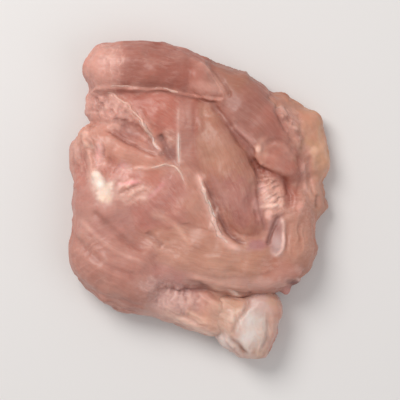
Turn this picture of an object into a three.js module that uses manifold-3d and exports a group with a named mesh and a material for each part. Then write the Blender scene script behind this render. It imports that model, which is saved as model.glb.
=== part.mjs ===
// Raw chicken leg piece, skinless, folded at the knee: a bed of muscles lying
// flat, the shank tucked under the lower flap, and the joint end of the leg
// bone standing out of the shank.
//
// Millimetres, +Z up. The piece lies on its flat underside at z = 0, and the
// origin is the middle of that footprint's box.
import * as THREE from 'three';
import { mergeVertices } from 'three/addons/utils/BufferGeometryUtils.js';
import Module from 'manifold-3d';

const wasm = await Module();
wasm.setup();

// ---- driving dimensions (mm, degrees) -------------------------------------
const SEAT_Z = 0;            // the flat underside
const CLEARANCE = 0.35;      // between the bone and the flesh around it
const RING = 20;             // facets around a large muscle
const RING_SMALL = 14;       // facets around a small one
const SMALL = 12;            // a muscle with a half length under this is small
const UNEVEN = 0.022;        // how far a muscle departs from an even shape

// The leg bone: it starts in the knee, runs along the shank and ends in the
// two rounded heads of the joint.
const BONE_YAW = -19.4;      // the way the shank points, seen from above
const BONE_END = [24.0, -49.6, 9.2]; // the middle of the joint end
const BONE_LENGTH = 62;      // from the middle of the joint end inwards
const BONE_SHAFT_R = 4.6;
const BONE_NECK_R = 9.0;
const BONE_NECK_LENGTH = 21;
const HEAD_SPREAD = 6.4;     // from the middle to each head, across the shank
const HEAD_R = [8.6, 8.6, 9.4];      // along the shank, across it, upwards
const HEAD_RING = 18;
const WEB_R = [8.4, 9.0, 9.0];       // the saddle between the heads

// The muscles and fat pads. Each is one rounded lobe:
// centre, half sizes (length, width, height), yaw, bend of its middle line,
// taper along its length.
const MUSCLES = {
  bed:            { at: [-1, 8, 8.5],      half: [42, 37, 12.8],     yaw: -35 },
  calf:           { at: [-31, -25, 10.5],  half: [22, 16.5, 15.5],   yaw: -24, taper: 0.10 },
  knee:           { at: [-36, -3, 10.0],   half: [14.5, 22, 15.0],   yaw: 8 },
  side_fray:      { at: [-38.5, 16, 6.5],  half: [13.5, 14, 10.8],   yaw: 20 },
  hollow:         { at: [-30, 34, 8.0],    half: [16.5, 11, 12.0],   yaw: -30 },
  shank:          { at: [-17, -36.5, 9.0], half: [27, 10.2, 9.9],    yaw: -21 },
  shank_end:      { at: [-1, -42.4, 9.0],  half: [22, 9.8, 9.5],     yaw: -20 },
  lower_flap:     { at: [7, -19.5, 10.5],  half: [38, 15, 14.0],     yaw: -9, bend: -4 },
  flap_corner:    { at: [36.5, -19.5, 8.5], half: [10.5, 9.5, 11.5], yaw: 0 },
  right_flap:     { at: [36, -7, 8.0],     half: [11.8, 22.5, 12.2], yaw: 3 },
  upper_right:    { at: [22, 29.5, 10.0],  half: [27, 15, 14.0],     yaw: -42, bend: 2 },
  shoulder:       { at: [12, 44.0, 9.5],   half: [16.5, 9.8, 12.5],  yaw: -27 },
  fat_outer:      { at: [42.5, 20, 6.0],   half: [11, 14.5, 9.5],    yaw: 25 },
  fat_top:        { at: [33.0, 37, 5.2],   half: [7, 7.2, 7.8],      yaw: -30 },
  fat_low:        { at: [45.5, 3, 5.6],    half: [5.5, 11, 8.8],     yaw: 8 },
  fat_bead:       { at: [50, -1, 4.5],     half: [2.8, 2.8, 4.5],    yaw: 0 },
  knob:           { at: [32.5, 15, 12.5],  half: [10.5, 9.5, 10.5],  yaw: -35 },
  fascia:         { at: [28.5, -4, 9.5],   half: [9.5, 19, 12.2],    yaw: 12 },
  left_lower:     { at: [-17, 1, 10.5],    half: [22, 16, 13.4],     yaw: -40 },
  centre_band:    { at: [0, 2, 10.5],      half: [28, 12.5, 13.2],   yaw: -56 },
  left_band:      { at: [-23, 18, 11.0],   half: [26, 10.5, 13.4],   yaw: -26, bend: 2 },
  wedge:          { at: [-13.5, 33, 11.0], half: [20, 13, 12.6],     yaw: -32 },
  grey_band:      { at: [-4, 27, 10.5],    half: [9, 19, 13.0],      yaw: 4 },
  long_muscle:    { at: [12.5, 11, 11.5],  half: [32.5, 12.0, 16.6], yaw: -69, bend: 1.0 },
  top_tip:        { at: [2.5, 46, 12.5],   half: [11, 5.5, 10.5],    yaw: -42 },
  top_left:       { at: [-36.5, 52, 10.5], half: [8.8, 9.6, 13.6],   yaw: 0 },
  top_muscle:     { at: [-18.0, 52, 11],   half: [27, 11.4, 15.8],   yaw: -7, bend: 2.4, taper: -0.06 },
};

// ---- helpers ---------------------------------------------------------------
const deg = THREE.MathUtils.degToRad;

function toSolid(geometry) {
  const g = geometry.index ? geometry.clone() : geometry;
  g.deleteAttribute('normal');
  g.deleteAttribute('uv');
  const m = mergeVertices(g, 1e-4);
  return new wasm.Manifold(new wasm.Mesh({
    numProp: 3,
    vertProperties: new Float32Array(m.attributes.position.array),
    triVerts: new Uint32Array(m.index.array),
  }));
}

function toGeometry(solid) {
  const m = solid.getMesh();
  const g = new THREE.BufferGeometry();
  g.setAttribute('position', new THREE.BufferAttribute(new Float32Array(m.vertProperties), 3));
  g.setIndex(new THREE.BufferAttribute(new Uint32Array(m.triVerts), 1));
  g.computeVertexNormals();
  return g;
}

// A rounded lobe of flesh: a sphere stretched along X, tapered and bent, a
// little uneven, then turned and put in its place.
function lobe({ at, half, yaw = 0, bend = 0, taper = 0 }, grow = 0, phase = 0) {
  const ring = Math.max(half[0], half[1]) < SMALL ? RING_SMALL : RING;
  const g = new THREE.SphereGeometry(1, ring, Math.round(ring * 0.7));
  g.rotateZ(-Math.PI / 2);                  // the poles at the ends of X
  const p = g.attributes.position;
  const v = new THREE.Vector3();
  for (let i = 0; i < p.count; i++) {
    v.fromBufferAttribute(p, i);
    const t = v.x;
    const swell = 1 + UNEVEN * Math.sin(3.1 * v.x + 2.3 * v.y + phase)
                    * Math.cos(2.7 * v.z + 1.9 * v.y + 2 * phase);
    const s = 1 + taper * t;
    v.set(
      t * (half[0] + grow),
      v.y * (half[1] + grow) * s * swell - bend * (t * t - 0.33),
      v.z * (half[2] + grow) * s * swell,
    );
    p.setXYZ(i, v.x, v.y, v.z);
  }
  g.rotateZ(deg(yaw));
  g.translate(...at);
  return toSolid(g);
}

// The bone, grown by a clearance when it is used to cut its own seat.
function bone(grow = 0) {
  const profile = [];
  const inner = 6;                          // rings of the rounded inner end
  for (let i = 0; i <= inner; i++) {
    const a = (i / inner) * Math.PI / 2;
    profile.push(new THREE.Vector2(
      i === 0 ? 0 : (BONE_SHAFT_R + grow) * Math.sin(a),
      -(BONE_SHAFT_R + grow) * Math.cos(a),
    ));
  }
  const steps = 12;                         // the shaft, then the flare
  for (let i = 1; i <= steps; i++) {
    const z = (i / steps) * BONE_LENGTH;
    const k = THREE.MathUtils.smoothstep(z, BONE_LENGTH - BONE_NECK_LENGTH, BONE_LENGTH);
    const waist = 1 + 0.10 * (2 * z / BONE_LENGTH - 1) ** 2 - 0.05;
    profile.push(new THREE.Vector2(
      (BONE_SHAFT_R * waist) * (1 - k) + BONE_NECK_R * k + grow, z));
  }
  profile.push(new THREE.Vector2(BONE_NECK_R * 0.62 + grow, BONE_LENGTH + 3));
  profile.push(new THREE.Vector2(0, BONE_LENGTH + 4));
  const shaft = new THREE.LatheGeometry(profile, 18);
  shaft.rotateZ(-Math.PI / 2);              // the length along +X
  shaft.translate(-BONE_LENGTH, 0, 0);      // the joint end at the origin

  let solid = toSolid(shaft);
  for (const side of [-1, 1]) {
    const head = new THREE.SphereGeometry(1, HEAD_RING, 14);
    head.scale(HEAD_R[0] + grow, HEAD_R[1] + grow, HEAD_R[2] + grow);
    head.rotateZ(deg(14 * side));
    head.translate(-1.2 + (side < 0 ? -1.6 : 0.4), HEAD_SPREAD * side, side < 0 ? -0.2 : 0.2);
    solid = solid.add(toSolid(head));
  }
  const web = new THREE.SphereGeometry(1, HEAD_RING, 12);
  web.scale(WEB_R[0] + grow, WEB_R[1] + grow, WEB_R[2] + grow);
  web.translate(-1.6, 0, 0);
  solid = solid.add(toSolid(web));
  return solid
    .rotate([0, 0, BONE_YAW])
    .translate(BONE_END);
}

// Everything under the seat is trimmed off flat.
function seated(solid) {
  const under = new THREE.BoxGeometry(400, 400, 100);
  under.translate(0, 0, SEAT_Z - 50);
  return solid.subtract(toSolid(under));
}

// ---- the piece --------------------------------------------------------------
let flesh = null;
Object.values(MUSCLES).forEach((m, i) => {
  const one = lobe(m, 0, i * 1.7);
  flesh = flesh ? flesh.add(one) : one;
});
flesh = seated(flesh.subtract(bone(CLEARANCE)));
const legBone = seated(bone(0));

const parts = [
  ['thigh_flesh', flesh, { color: 0xc08a78, roughness: 0.38, metalness: 0 }],
  ['leg_bone', legBone, { color: 0xd9c4b2, roughness: 0.34, metalness: 0 }],
];

const group = new THREE.Group();
const meshes = parts.map(([name, solid, look]) => {
  const mesh = new THREE.Mesh(toGeometry(solid), new THREE.MeshStandardMaterial(look));
  mesh.name = name;
  group.add(mesh);
  return mesh;
});

// The origin goes to the middle of the footprint, on the seat.
const box = new THREE.Box3();
meshes.forEach((m) => { m.geometry.computeBoundingBox(); box.union(m.geometry.boundingBox); });
const middle = box.getCenter(new THREE.Vector3());
meshes.forEach((m) => m.geometry.translate(-middle.x, -middle.y, -box.min.z));

export default group;
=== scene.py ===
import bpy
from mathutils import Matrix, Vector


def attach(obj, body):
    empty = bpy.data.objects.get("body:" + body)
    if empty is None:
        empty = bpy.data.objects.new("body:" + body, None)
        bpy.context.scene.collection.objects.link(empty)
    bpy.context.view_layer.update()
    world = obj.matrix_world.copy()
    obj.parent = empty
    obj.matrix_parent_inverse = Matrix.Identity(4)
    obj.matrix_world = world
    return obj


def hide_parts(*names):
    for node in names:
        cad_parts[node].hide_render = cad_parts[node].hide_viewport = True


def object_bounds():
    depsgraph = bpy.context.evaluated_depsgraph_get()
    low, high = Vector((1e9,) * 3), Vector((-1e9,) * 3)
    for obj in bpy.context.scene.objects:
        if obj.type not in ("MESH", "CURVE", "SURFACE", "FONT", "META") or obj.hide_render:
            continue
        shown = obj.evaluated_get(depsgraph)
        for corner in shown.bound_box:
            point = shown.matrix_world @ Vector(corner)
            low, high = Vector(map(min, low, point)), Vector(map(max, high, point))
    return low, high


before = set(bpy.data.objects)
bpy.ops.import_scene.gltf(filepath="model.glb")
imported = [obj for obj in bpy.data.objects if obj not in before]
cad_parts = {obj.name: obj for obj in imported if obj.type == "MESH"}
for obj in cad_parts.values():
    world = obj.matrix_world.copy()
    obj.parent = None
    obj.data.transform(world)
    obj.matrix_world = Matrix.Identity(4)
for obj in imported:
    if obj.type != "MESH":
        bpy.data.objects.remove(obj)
CAD_BOX = [[float(c) for c in v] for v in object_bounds()]

import math
import time

import bpy
import numpy as np
from mathutils import Vector
from mathutils.bvhtree import BVHTree

T0 = time.time()
MM = 0.001

# ---- frames ------------------------------------------------------------------
# The shapes are laid out in a plan: u to the right and v down, 0.85 mm a step,
# which becomes millimetres with X to the right, Y up the plan and Z off the seat.
STEP = 0.85
U0, V0 = 256.0, 281.0
SHIFT = np.array([-1.071, -0.575, 0.0])   # from the plan's zero to the CAD's origin


def plan(u, v):
    return ((u - U0) * STEP, (V0 - v) * STEP)


def lin(rgb):
    c = np.asarray(rgb, float) / 255.0
    return np.where(c <= 0.04045, c / 12.92, ((c + 0.055) / 1.055) ** 2.4)


# ---- seeded noise --------------------------------------------------------------
class Noise:
    def __init__(self, seed, n=32):
        self.n = n
        self.t = np.random.RandomState(seed).uniform(-1, 1, (n, n, n)).astype(np.float32)

    def __call__(self, p):
        p = np.asarray(p, np.float32)
        i = np.floor(p).astype(np.int32)
        f = p - i
        f = f * f * f * (f * (f * 6 - 15) + 10)
        n, t = self.n, self.t
        a, b = i % n, (i + 1) % n
        x0, y0, z0 = a[..., 0], a[..., 1], a[..., 2]
        x1, y1, z1 = b[..., 0], b[..., 1], b[..., 2]
        fx, fy, fz = f[..., 0], f[..., 1], f[..., 2]

        def m(q, r, w):
            return q + (r - q) * w
        return m(m(m(t[x0, y0, z0], t[x1, y0, z0], fx), m(t[x0, y1, z0], t[x1, y1, z0], fx), fy),
                 m(m(t[x0, y0, z1], t[x1, y0, z1], fx), m(t[x0, y1, z1], t[x1, y1, z1], fx), fy), fz)


N1, N2, N3, N4 = Noise(11), Noise(23), Noise(37), Noise(51)


def fbm(noise, p, octaves=3, gain=0.5):
    s, a, q = 0.0, 1.0, np.asarray(p, np.float32)
    for _ in range(octaves):
        s = s + a * noise(q)
        a *= gain
        q = q * 2.03 + 7.7
    return s


def smooth(a, b, x):
    t = np.clip((x - a) / (b - a), 0, 1)
    return t * t * (3 - 2 * t)


# ---- lobes: the body of every shape ---------------------------------------------
class Lobe:
    def __init__(self, name, at, half, yaw=0, bend=0, taper=0, k=1.5, col=(185, 130, 115),
                 pitch=0, roll=0, fibre=1.0, cut=False):
        self.name, self.k, self.cut, self.fibre = name, k, cut, fibre
        self.at = np.array(at, np.float32)
        self.half = np.array(half, np.float32)
        self.bend, self.taper = bend, taper
        self.col = lin(col)
        y, p, r = np.radians([yaw, pitch, roll])
        rz = np.array([[np.cos(y), -np.sin(y), 0], [np.sin(y), np.cos(y), 0], [0, 0, 1]])
        ry = np.array([[np.cos(p), 0, -np.sin(p)], [0, 1, 0], [np.sin(p), 0, np.cos(p)]])
        rx = np.array([[1, 0, 0], [0, np.cos(r), -np.sin(r)], [0, np.sin(r), np.cos(r)]])
        self.rot = (rz @ ry @ rx).astype(np.float32)

    def local(self, x, y, z):
        m = self.rot
        x, y, z = x - self.at[0], y - self.at[1], z - self.at[2]
        lx = x * m[0, 0] + y * m[1, 0] + z * m[2, 0]
        ly = x * m[0, 1] + y * m[1, 1] + z * m[2, 1]
        lz = x * m[0, 2] + y * m[1, 2] + z * m[2, 2]
        t = lx / self.half[0]
        if self.bend:
            ly = ly + self.bend * (t * t - 0.33)
        return lx, ly, lz, t

    def dist(self, x, y, z):
        lx, ly, lz, t = self.local(x, y, z)
        if self.taper:
            s = 1.0 + self.taper * np.clip(t, -1.2, 1.2)
            ly, lz = ly / s, lz / s
        a, b, c = self.half
        k0 = np.sqrt((lx / a) ** 2 + (ly / b) ** 2 + (lz / c) ** 2) + 1e-6
        k1 = np.sqrt((lx / a ** 2) ** 2 + (ly / b ** 2) ** 2 + (lz / c ** 2) ** 2) + 1e-6
        return k0 * (k0 - 1) / k1

    def reach(self):
        r = np.abs(self.rot) @ (self.half * (1 + abs(self.taper)))
        return self.at - r - abs(self.bend), self.at + r + abs(self.bend)


def smin(a, b, k):
    if np.isscalar(k) and k <= 0:
        return np.minimum(a, b)
    h = np.maximum(k - np.abs(a - b), 0) / k
    return np.minimum(a, b) - h * h * k * 0.25


def smax(a, b, k):
    return -smin(-a, -b, k)


def warped(x, y, z, amount):
    """Slow waves that keep the lobes from looking like even eggs."""
    if not amount:
        return x, y, z
    s = np.sin
    wx = 0.30 * s(0.19 * x + 0.13 * y + 0.9) + 0.30 * s(0.31 * y - 0.22 * x + 0.2 * z + 2.1) + 0.20 * s(0.67 * y + 0.3 * x + 4.0)
    wy = 0.30 * s(0.17 * x - 0.21 * y + 3.3) + 0.30 * s(0.35 * x + 0.16 * y + 0.15 * z + 0.4) + 0.20 * s(0.71 * x - 0.2 * y + 1.2)
    wz = 0.45 * s(0.23 * x + 0.27 * y + 1.7) + 0.28 * s(0.41 * x - 0.37 * y + 5.1)
    return x + amount * wx, y + amount * wy, z + amount * wz


def volume(lobes, lo, hi, h, warp=1.0, seat=1.2):
    ax = [np.arange(lo[i], hi[i] + h, h, dtype=np.float32) for i in range(3)]
    x, y, z = np.meshgrid(*ax, indexing="ij")
    wx, wy, wz = warped(x, y, z, warp)
    d = np.full(x.shape, 9.0, np.float32)
    for lb in lobes:
        a, b = lb.reach()
        pad = 3.0 + (5.5 if callable(lb.k) else lb.k) + warp
        sl = tuple(slice(max(0, int((a[i] - pad - lo[i]) / h)), max(1, int((b[i] + pad - lo[i]) / h) + 1)) for i in range(3))
        e = lb.dist(wx[sl], wy[sl], wz[sl])
        k = lb.k(x[sl], y[sl]) if callable(lb.k) else lb.k
        d[sl] = smax(d[sl], -e, k) if lb.cut else smin(d[sl], e, k)
    if seat:
        d = smax(d, -z, seat)
    return d, np.array(lo, np.float32), h


def surface(d, lo, h):
    """Closed quad mesh of the zero level: one point in each crossed cell."""
    s = d < 0
    n = np.zeros(tuple(k - 1 for k in d.shape), np.uint8)
    corner = [(i, j, k) for i in (0, 1) for j in (0, 1) for k in (0, 1)]
    for i, j, k in corner:
        n += s[i:d.shape[0] - 1 + i, j:d.shape[1] - 1 + j, k:d.shape[2] - 1 + k]
    act = (n > 0) & (n < 8)
    idx = np.full(act.shape, -1, np.int64)
    ii, jj, kk = np.nonzero(act)
    idx[act] = np.arange(len(ii))
    pos = np.zeros((len(ii), 3), np.float32)
    cnt = np.zeros(len(ii), np.float32)
    for a in corner:
        for axis in range(3):
            if a[axis]:
                continue
            b = list(a); b[axis] = 1
            da = d[ii + a[0], jj + a[1], kk + a[2]]
            db = d[ii + b[0], jj + b[1], kk + b[2]]
            m = (da < 0) != (db < 0)
            t = np.where(m, da / np.where(m, da - db, 1), 0)
            p = np.array(a, np.float32)[None, :].repeat(len(ii), 0)
            p[:, axis] += t
            pos[m] += p[m]
            cnt[m] += 1
    pos /= cnt[:, None]
    verts = lo + h * (np.stack([ii, jj, kk], -1) + pos)
    faces = []
    for axis in range(3):
        u, w = [(1, 2), (2, 0), (0, 1)][axis]
        e = [slice(None)] * 3; f = [slice(None)] * 3
        e[axis] = slice(0, -1); f[axis] = slice(1, None)
        a, b = s[tuple(e)], s[tuple(f)]
        q = np.argwhere(a != b)
        q = q[(q[:, u] > 0) & (q[:, w] > 0) & (q[:, u] < d.shape[u] - 1) & (q[:, w] < d.shape[w] - 1)]
        inside_first = a[q[:, 0], q[:, 1], q[:, 2]]

        def cell(du, dw):
            c = q.copy(); c[:, u] += du; c[:, w] += dw
            return idx[c[:, 0], c[:, 1], c[:, 2]]
        quad = np.stack([cell(-1, -1), cell(0, -1), cell(0, 0), cell(-1, 0)], -1)
        quad[~inside_first] = quad[~inside_first][:, ::-1]
        faces.append(quad)
    return verts.astype(np.float64), np.concatenate(faces)


def normals(v, f):
    a = v[f[:, 2]] - v[f[:, 0]]
    b = v[f[:, 3]] - v[f[:, 1]]
    fn = np.cross(a, b)
    n = np.zeros_like(v)
    for c in range(4):
        for ax in range(3):
            n[:, ax] += np.bincount(f[:, c], fn[:, ax], len(v))
    return n / (np.linalg.norm(n, axis=1, keepdims=True) + 1e-12)


def relax(v, f, rounds=1, amount=0.5):
    e = np.concatenate([f[:, [0, 1]], f[:, [1, 2]], f[:, [2, 3]], f[:, [3, 0]]])
    e = np.concatenate([e, e[:, ::-1]])
    deg = np.bincount(e[:, 0], minlength=len(v))[:, None]
    for _ in range(rounds):
        s = np.stack([np.bincount(e[:, 0], v[e[:, 1], ax], len(v)) for ax in range(3)], -1)
        v = v + amount * (s / deg - v)
    return v


def sample(d, lo, h, p):
    q = (p - lo) / h
    q = np.clip(q, 0, np.array(d.shape) - 1.001)
    i = q.astype(int); f = q - i
    out = 0
    for a in (0, 1):
        for b in (0, 1):
            for c in (0, 1):
                w = (f[:, 0] if a else 1 - f[:, 0]) * (f[:, 1] if b else 1 - f[:, 1]) * (f[:, 2] if c else 1 - f[:, 2])
                out = out + w * d[i[:, 0] + a, i[:, 1] + b, i[:, 2] + c]
    return out


# ---- strokes: ridges, grooves and flap edges drawn on the plan ---------------------
def spline(pts, step=0.7):
    """Smooth curve through plan points, in mm, with its running parameter."""
    p = np.array([plan(*q) for q in pts])
    p = np.vstack([2 * p[0] - p[1], p, 2 * p[-1] - p[-2]])
    out = []
    for i in range(1, len(p) - 2):
        n = max(2, int(np.linalg.norm(p[i + 1] - p[i]) / step))
        for t in np.arange(n) / n:
            a = 2 * p[i]; b = p[i + 1] - p[i - 1]
            c = 2 * p[i - 1] - 5 * p[i] + 4 * p[i + 1] - p[i + 2]
            e = -p[i - 1] + 3 * p[i] - 3 * p[i + 1] + p[i + 2]
            out.append(0.5 * (a + b * t + c * t * t + e * t ** 3))
    out.append(p[-2])
    return np.array(out)


def near(xy, line):
    """Distance to the line, side of it (+ is left of travel) and place along it."""
    a, b = line[:-1], line[1:]
    ab = b - a
    ln = (ab ** 2).sum(1) + 1e-9
    best = np.full(len(xy), 1e9); side = np.zeros(len(xy)); along = np.zeros(len(xy))
    cum = np.concatenate([[0], np.cumsum(np.sqrt(ln))])
    for i in range(len(a)):
        r = xy - a[i]
        t = np.clip((r @ ab[i]) / ln[i], 0, 1)
        e = r - t[:, None] * ab[i]
        dd = np.hypot(e[:, 0], e[:, 1])
        m = dd < best
        best[m] = dd[m]
        side[m] = np.sign(ab[i, 0] * r[m, 1] - ab[i, 1] * r[m, 0])
        along[m] = (cum[i] + t[m] * (cum[i + 1] - cum[i])) / cum[-1]
    return best, side, along


class Stroke:
    """kind: ridge, groove or edge. w: half width in mm. amp: height in mm.
    tint: colour drawn along it, how strongly, and over what half width."""

    def __init__(self, kind, pts, w, amp, tint=None, strength=0.0, spread=None, ends=(0.12, 0.12),
                 rough=0.35, fall=3.0, up=0.2, film=0.0, zmin=6.0):
        self.kind, self.pts, self.w, self.amp = kind, pts, w, amp
        self.tint = None if tint is None else lin(tint)
        self.strength, self.spread = strength, spread or w * 1.1
        self.ends, self.rough, self.fall, self.up, self.film, self.zmin = ends, rough, fall, up, film, zmin


def apply_strokes(v, n, strokes, col, film, seed=0.0):
    xy = v[:, :2]
    disp = np.zeros(len(v))
    for i, s in enumerate(strokes):
        line = spline(s.pts)
        r = max(s.w * 3, s.spread * 3, s.fall * 2.2 if s.kind == "edge" else 0)
        lo, hi = line.min(0) - r, line.max(0) + r
        m = np.nonzero((xy > lo).all(1) & (xy < hi).all(1) & (n[:, 2] > s.up) & (v[:, 2] > s.zmin))[0]
        if not len(m):
            continue
        d, side, t = near(xy[m], line)
        e0, e1 = s.ends
        fade = smooth(0, e0, t) * smooth(0, e1, 1 - t) if e0 and e1 else np.ones(len(t))
        wob = N2(np.stack([t * len(line) * 0.22, np.full(len(t), i * 3.1 + seed), d * 0.15], -1))
        wid = s.w * (1 + s.rough * wob)
        k = fade * (1 + s.rough * N3(np.stack([t * len(line) * 0.16, np.full(len(t), i * 1.7 + seed), d * 0.1], -1)))
        d = np.maximum(d + 0.12 * N1(np.stack([xy[m, 0] * 1.1, xy[m, 1] * 1.1, np.full(len(t), 3.3)], -1)), 0)
        g = np.exp(-(d / wid) ** 2)
        facing = smooth(s.up, s.up + 0.25, n[m, 2])
        if s.kind == "ridge":
            disp[m] += s.amp * g * k * facing
        elif s.kind == "groove":
            disp[m] -= s.amp * g * k * facing
        else:
            sd = d * side
            high = 0.5 + 0.5 * np.tanh(sd / (wid * 0.5))
            disp[m] += s.amp * k * facing * (high * np.exp(-np.maximum(sd, 0) / s.fall)
                                             - 0.6 * (1 - high) * np.exp(-np.maximum(-sd, 0) / (s.fall * 0.35)))
        if s.tint is not None:
            a = (s.strength * k * np.exp(-(d / s.spread) ** 2)).clip(0, 1)[:, None]
            col[m] = col[m] * (1 - a) + s.tint * a
        if s.film:
            film[m] = np.maximum(film[m], s.film * k * np.exp(-(d / s.spread) ** 2))
    return disp


class Blob:
    """An uneven patch of colour on the plan, with how far it reaches down."""

    def __init__(self, u, v, ru, rv, ang, col, strength=0.7, edge=0.35, noise=0.35, film=0.0, zmin=-1.0, zmax=99.0):
        self.c = plan(u, v)
        self.r = (ru * STEP, rv * STEP)
        self.ang = math.radians(ang)
        self.col = lin(col)
        self.strength, self.edge, self.noise, self.film = strength, edge, noise, film
        self.zmin, self.zmax = zmin, zmax


def apply_blobs(v, blobs, col, film):
    for i, b in enumerate(blobs):
        x, y = v[:, 0] - b.c[0], v[:, 1] - b.c[1]
        ca, sa = math.cos(b.ang), math.sin(b.ang)
        p, q = (x * ca + y * sa) / b.r[0], (-x * sa + y * ca) / b.r[1]
        r = np.sqrt(p * p + q * q)
        m = np.nonzero((r < 2.2) & (v[:, 2] > b.zmin) & (v[:, 2] < b.zmax))[0]
        if not len(m):
            continue
        w = r[m] + b.noise * fbm(N4, v[m] * 0.34 + i * 5.3, 3)
        a = (b.strength * (1 - smooth(1 - b.edge, 1 + b.edge, w)))[:, None]
        col[m] = col[m] * (1 - a) + b.col * a
        if b.film:
            film[m] = np.maximum(film[m], b.film * a[:, 0] / max(b.strength, 1e-3))


def region(v, u, w, ru, rv, ang=0.0, soft=0.4):
    c = plan(u, w)
    x, y = v[:, 0] - c[0], v[:, 1] - c[1]
    a = math.radians(ang)
    p = (x * math.cos(a) + y * math.sin(a)) / (ru * STEP)
    q = (-x * math.sin(a) + y * math.cos(a)) / (rv * STEP)
    return 1 - smooth(1 - soft, 1 + soft, np.sqrt(p * p + q * q))


class Fray:
    """Torn or stringy tissue over a patch of the plan: soft strands that run along
    one heading, or beads. Strands stand up and are pale, with dark gaps between."""

    def __init__(self, u, v, ru, rv, ang, heading, light, dark, amp=0.3, strength=0.6, size=(7.0, 2.0),
                 wander=1.0, edge=0.6, beads=False, zmin=3.0):
        self.at = (u, v, ru, rv, ang, edge)
        self.heading, self.size = math.radians(heading), size
        self.light, self.dark = lin(light), lin(dark)
        self.amp, self.strength, self.wander, self.beads, self.zmin = amp, strength, wander, beads, zmin


def apply_frays(v, frays, col):
    disp = np.zeros(len(v))
    for i, s in enumerate(frays):
        u, w, ru, rv, ang, edge = s.at
        k = region(v, u, w, ru, rv, ang, edge) * smooth(s.zmin, s.zmin + 3.0, v[:, 2])
        m = np.nonzero(k > 0.01)[0]
        if not len(m):
            continue
        p, k = v[m], k[m]
        k = k * smooth(-0.7, 0.3, fbm(N4, p / 3.4 + i * 2.9, 2) + 1.5 * (k - 0.35))
        ca, sa = math.cos(s.heading), math.sin(s.heading)
        x, y = p[:, 0] * ca + p[:, 1] * sa, -p[:, 0] * sa + p[:, 1] * ca
        y = y + s.wander * fbm(N2, np.stack([x / 5.0, y / 7.0, p[:, 2] / 6.0 + i], -1), 2)
        q = np.stack([x / s.size[0], y / s.size[1], p[:, 2] * 0.12 + i * 3.3], -1)
        if s.beads:
            t = 0.4 + 1.3 * N3(q) + 0.4 * N1(q * 1.9 + 5.1)
        else:
            t = 0.62 * (1 - 2 * np.abs(N3(q))) + 0.38 * (1 - 2 * np.abs(N1(q * np.array([1.6, 1.8, 1.0]) + 5.1)))
        hi = (s.strength * k * smooth(0.42, 0.92, t))[:, None]
        lo = (0.8 * s.strength * k * smooth(0.34, -0.25, t))[:, None]
        col[m] = col[m] * (1 - hi) + s.light * hi
        col[m] = col[m] * (1 - lo) + s.dark * lo
        disp[m] += s.amp * k * np.clip(t - 0.4, -0.9, 0.6) * 1.5
    return disp


# ---- Blender meshes ------------------------------------------------------------
def make_mesh(name, v, f, attrs=None, shift=True, smooth_faces=True):
    me = bpy.data.meshes.new(name)
    v = np.asarray(v, float)
    if shift:
        v = v + SHIFT
    me.from_pydata((v * MM).tolist(), [], f.tolist() if hasattr(f, "tolist") else f)
    me.update()
    for key, (kind, data) in (attrs or {}).items():
        a = me.attributes.new(key, kind, "POINT")
        if kind == "FLOAT_COLOR":
            rgba = np.ones((len(v), 4), np.float32); rgba[:, :3] = data
            a.data.foreach_set("color", rgba.ravel())
        elif kind == "FLOAT_VECTOR":
            a.data.foreach_set("vector", np.asarray(data, np.float32).ravel())
        else:
            a.data.foreach_set("value", np.asarray(data, np.float32).ravel())
    if smooth_faces:
        me.shade_smooth()
    ob = bpy.data.objects.new(name, me)
    bpy.context.scene.collection.objects.link(ob)
    return ob


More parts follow.
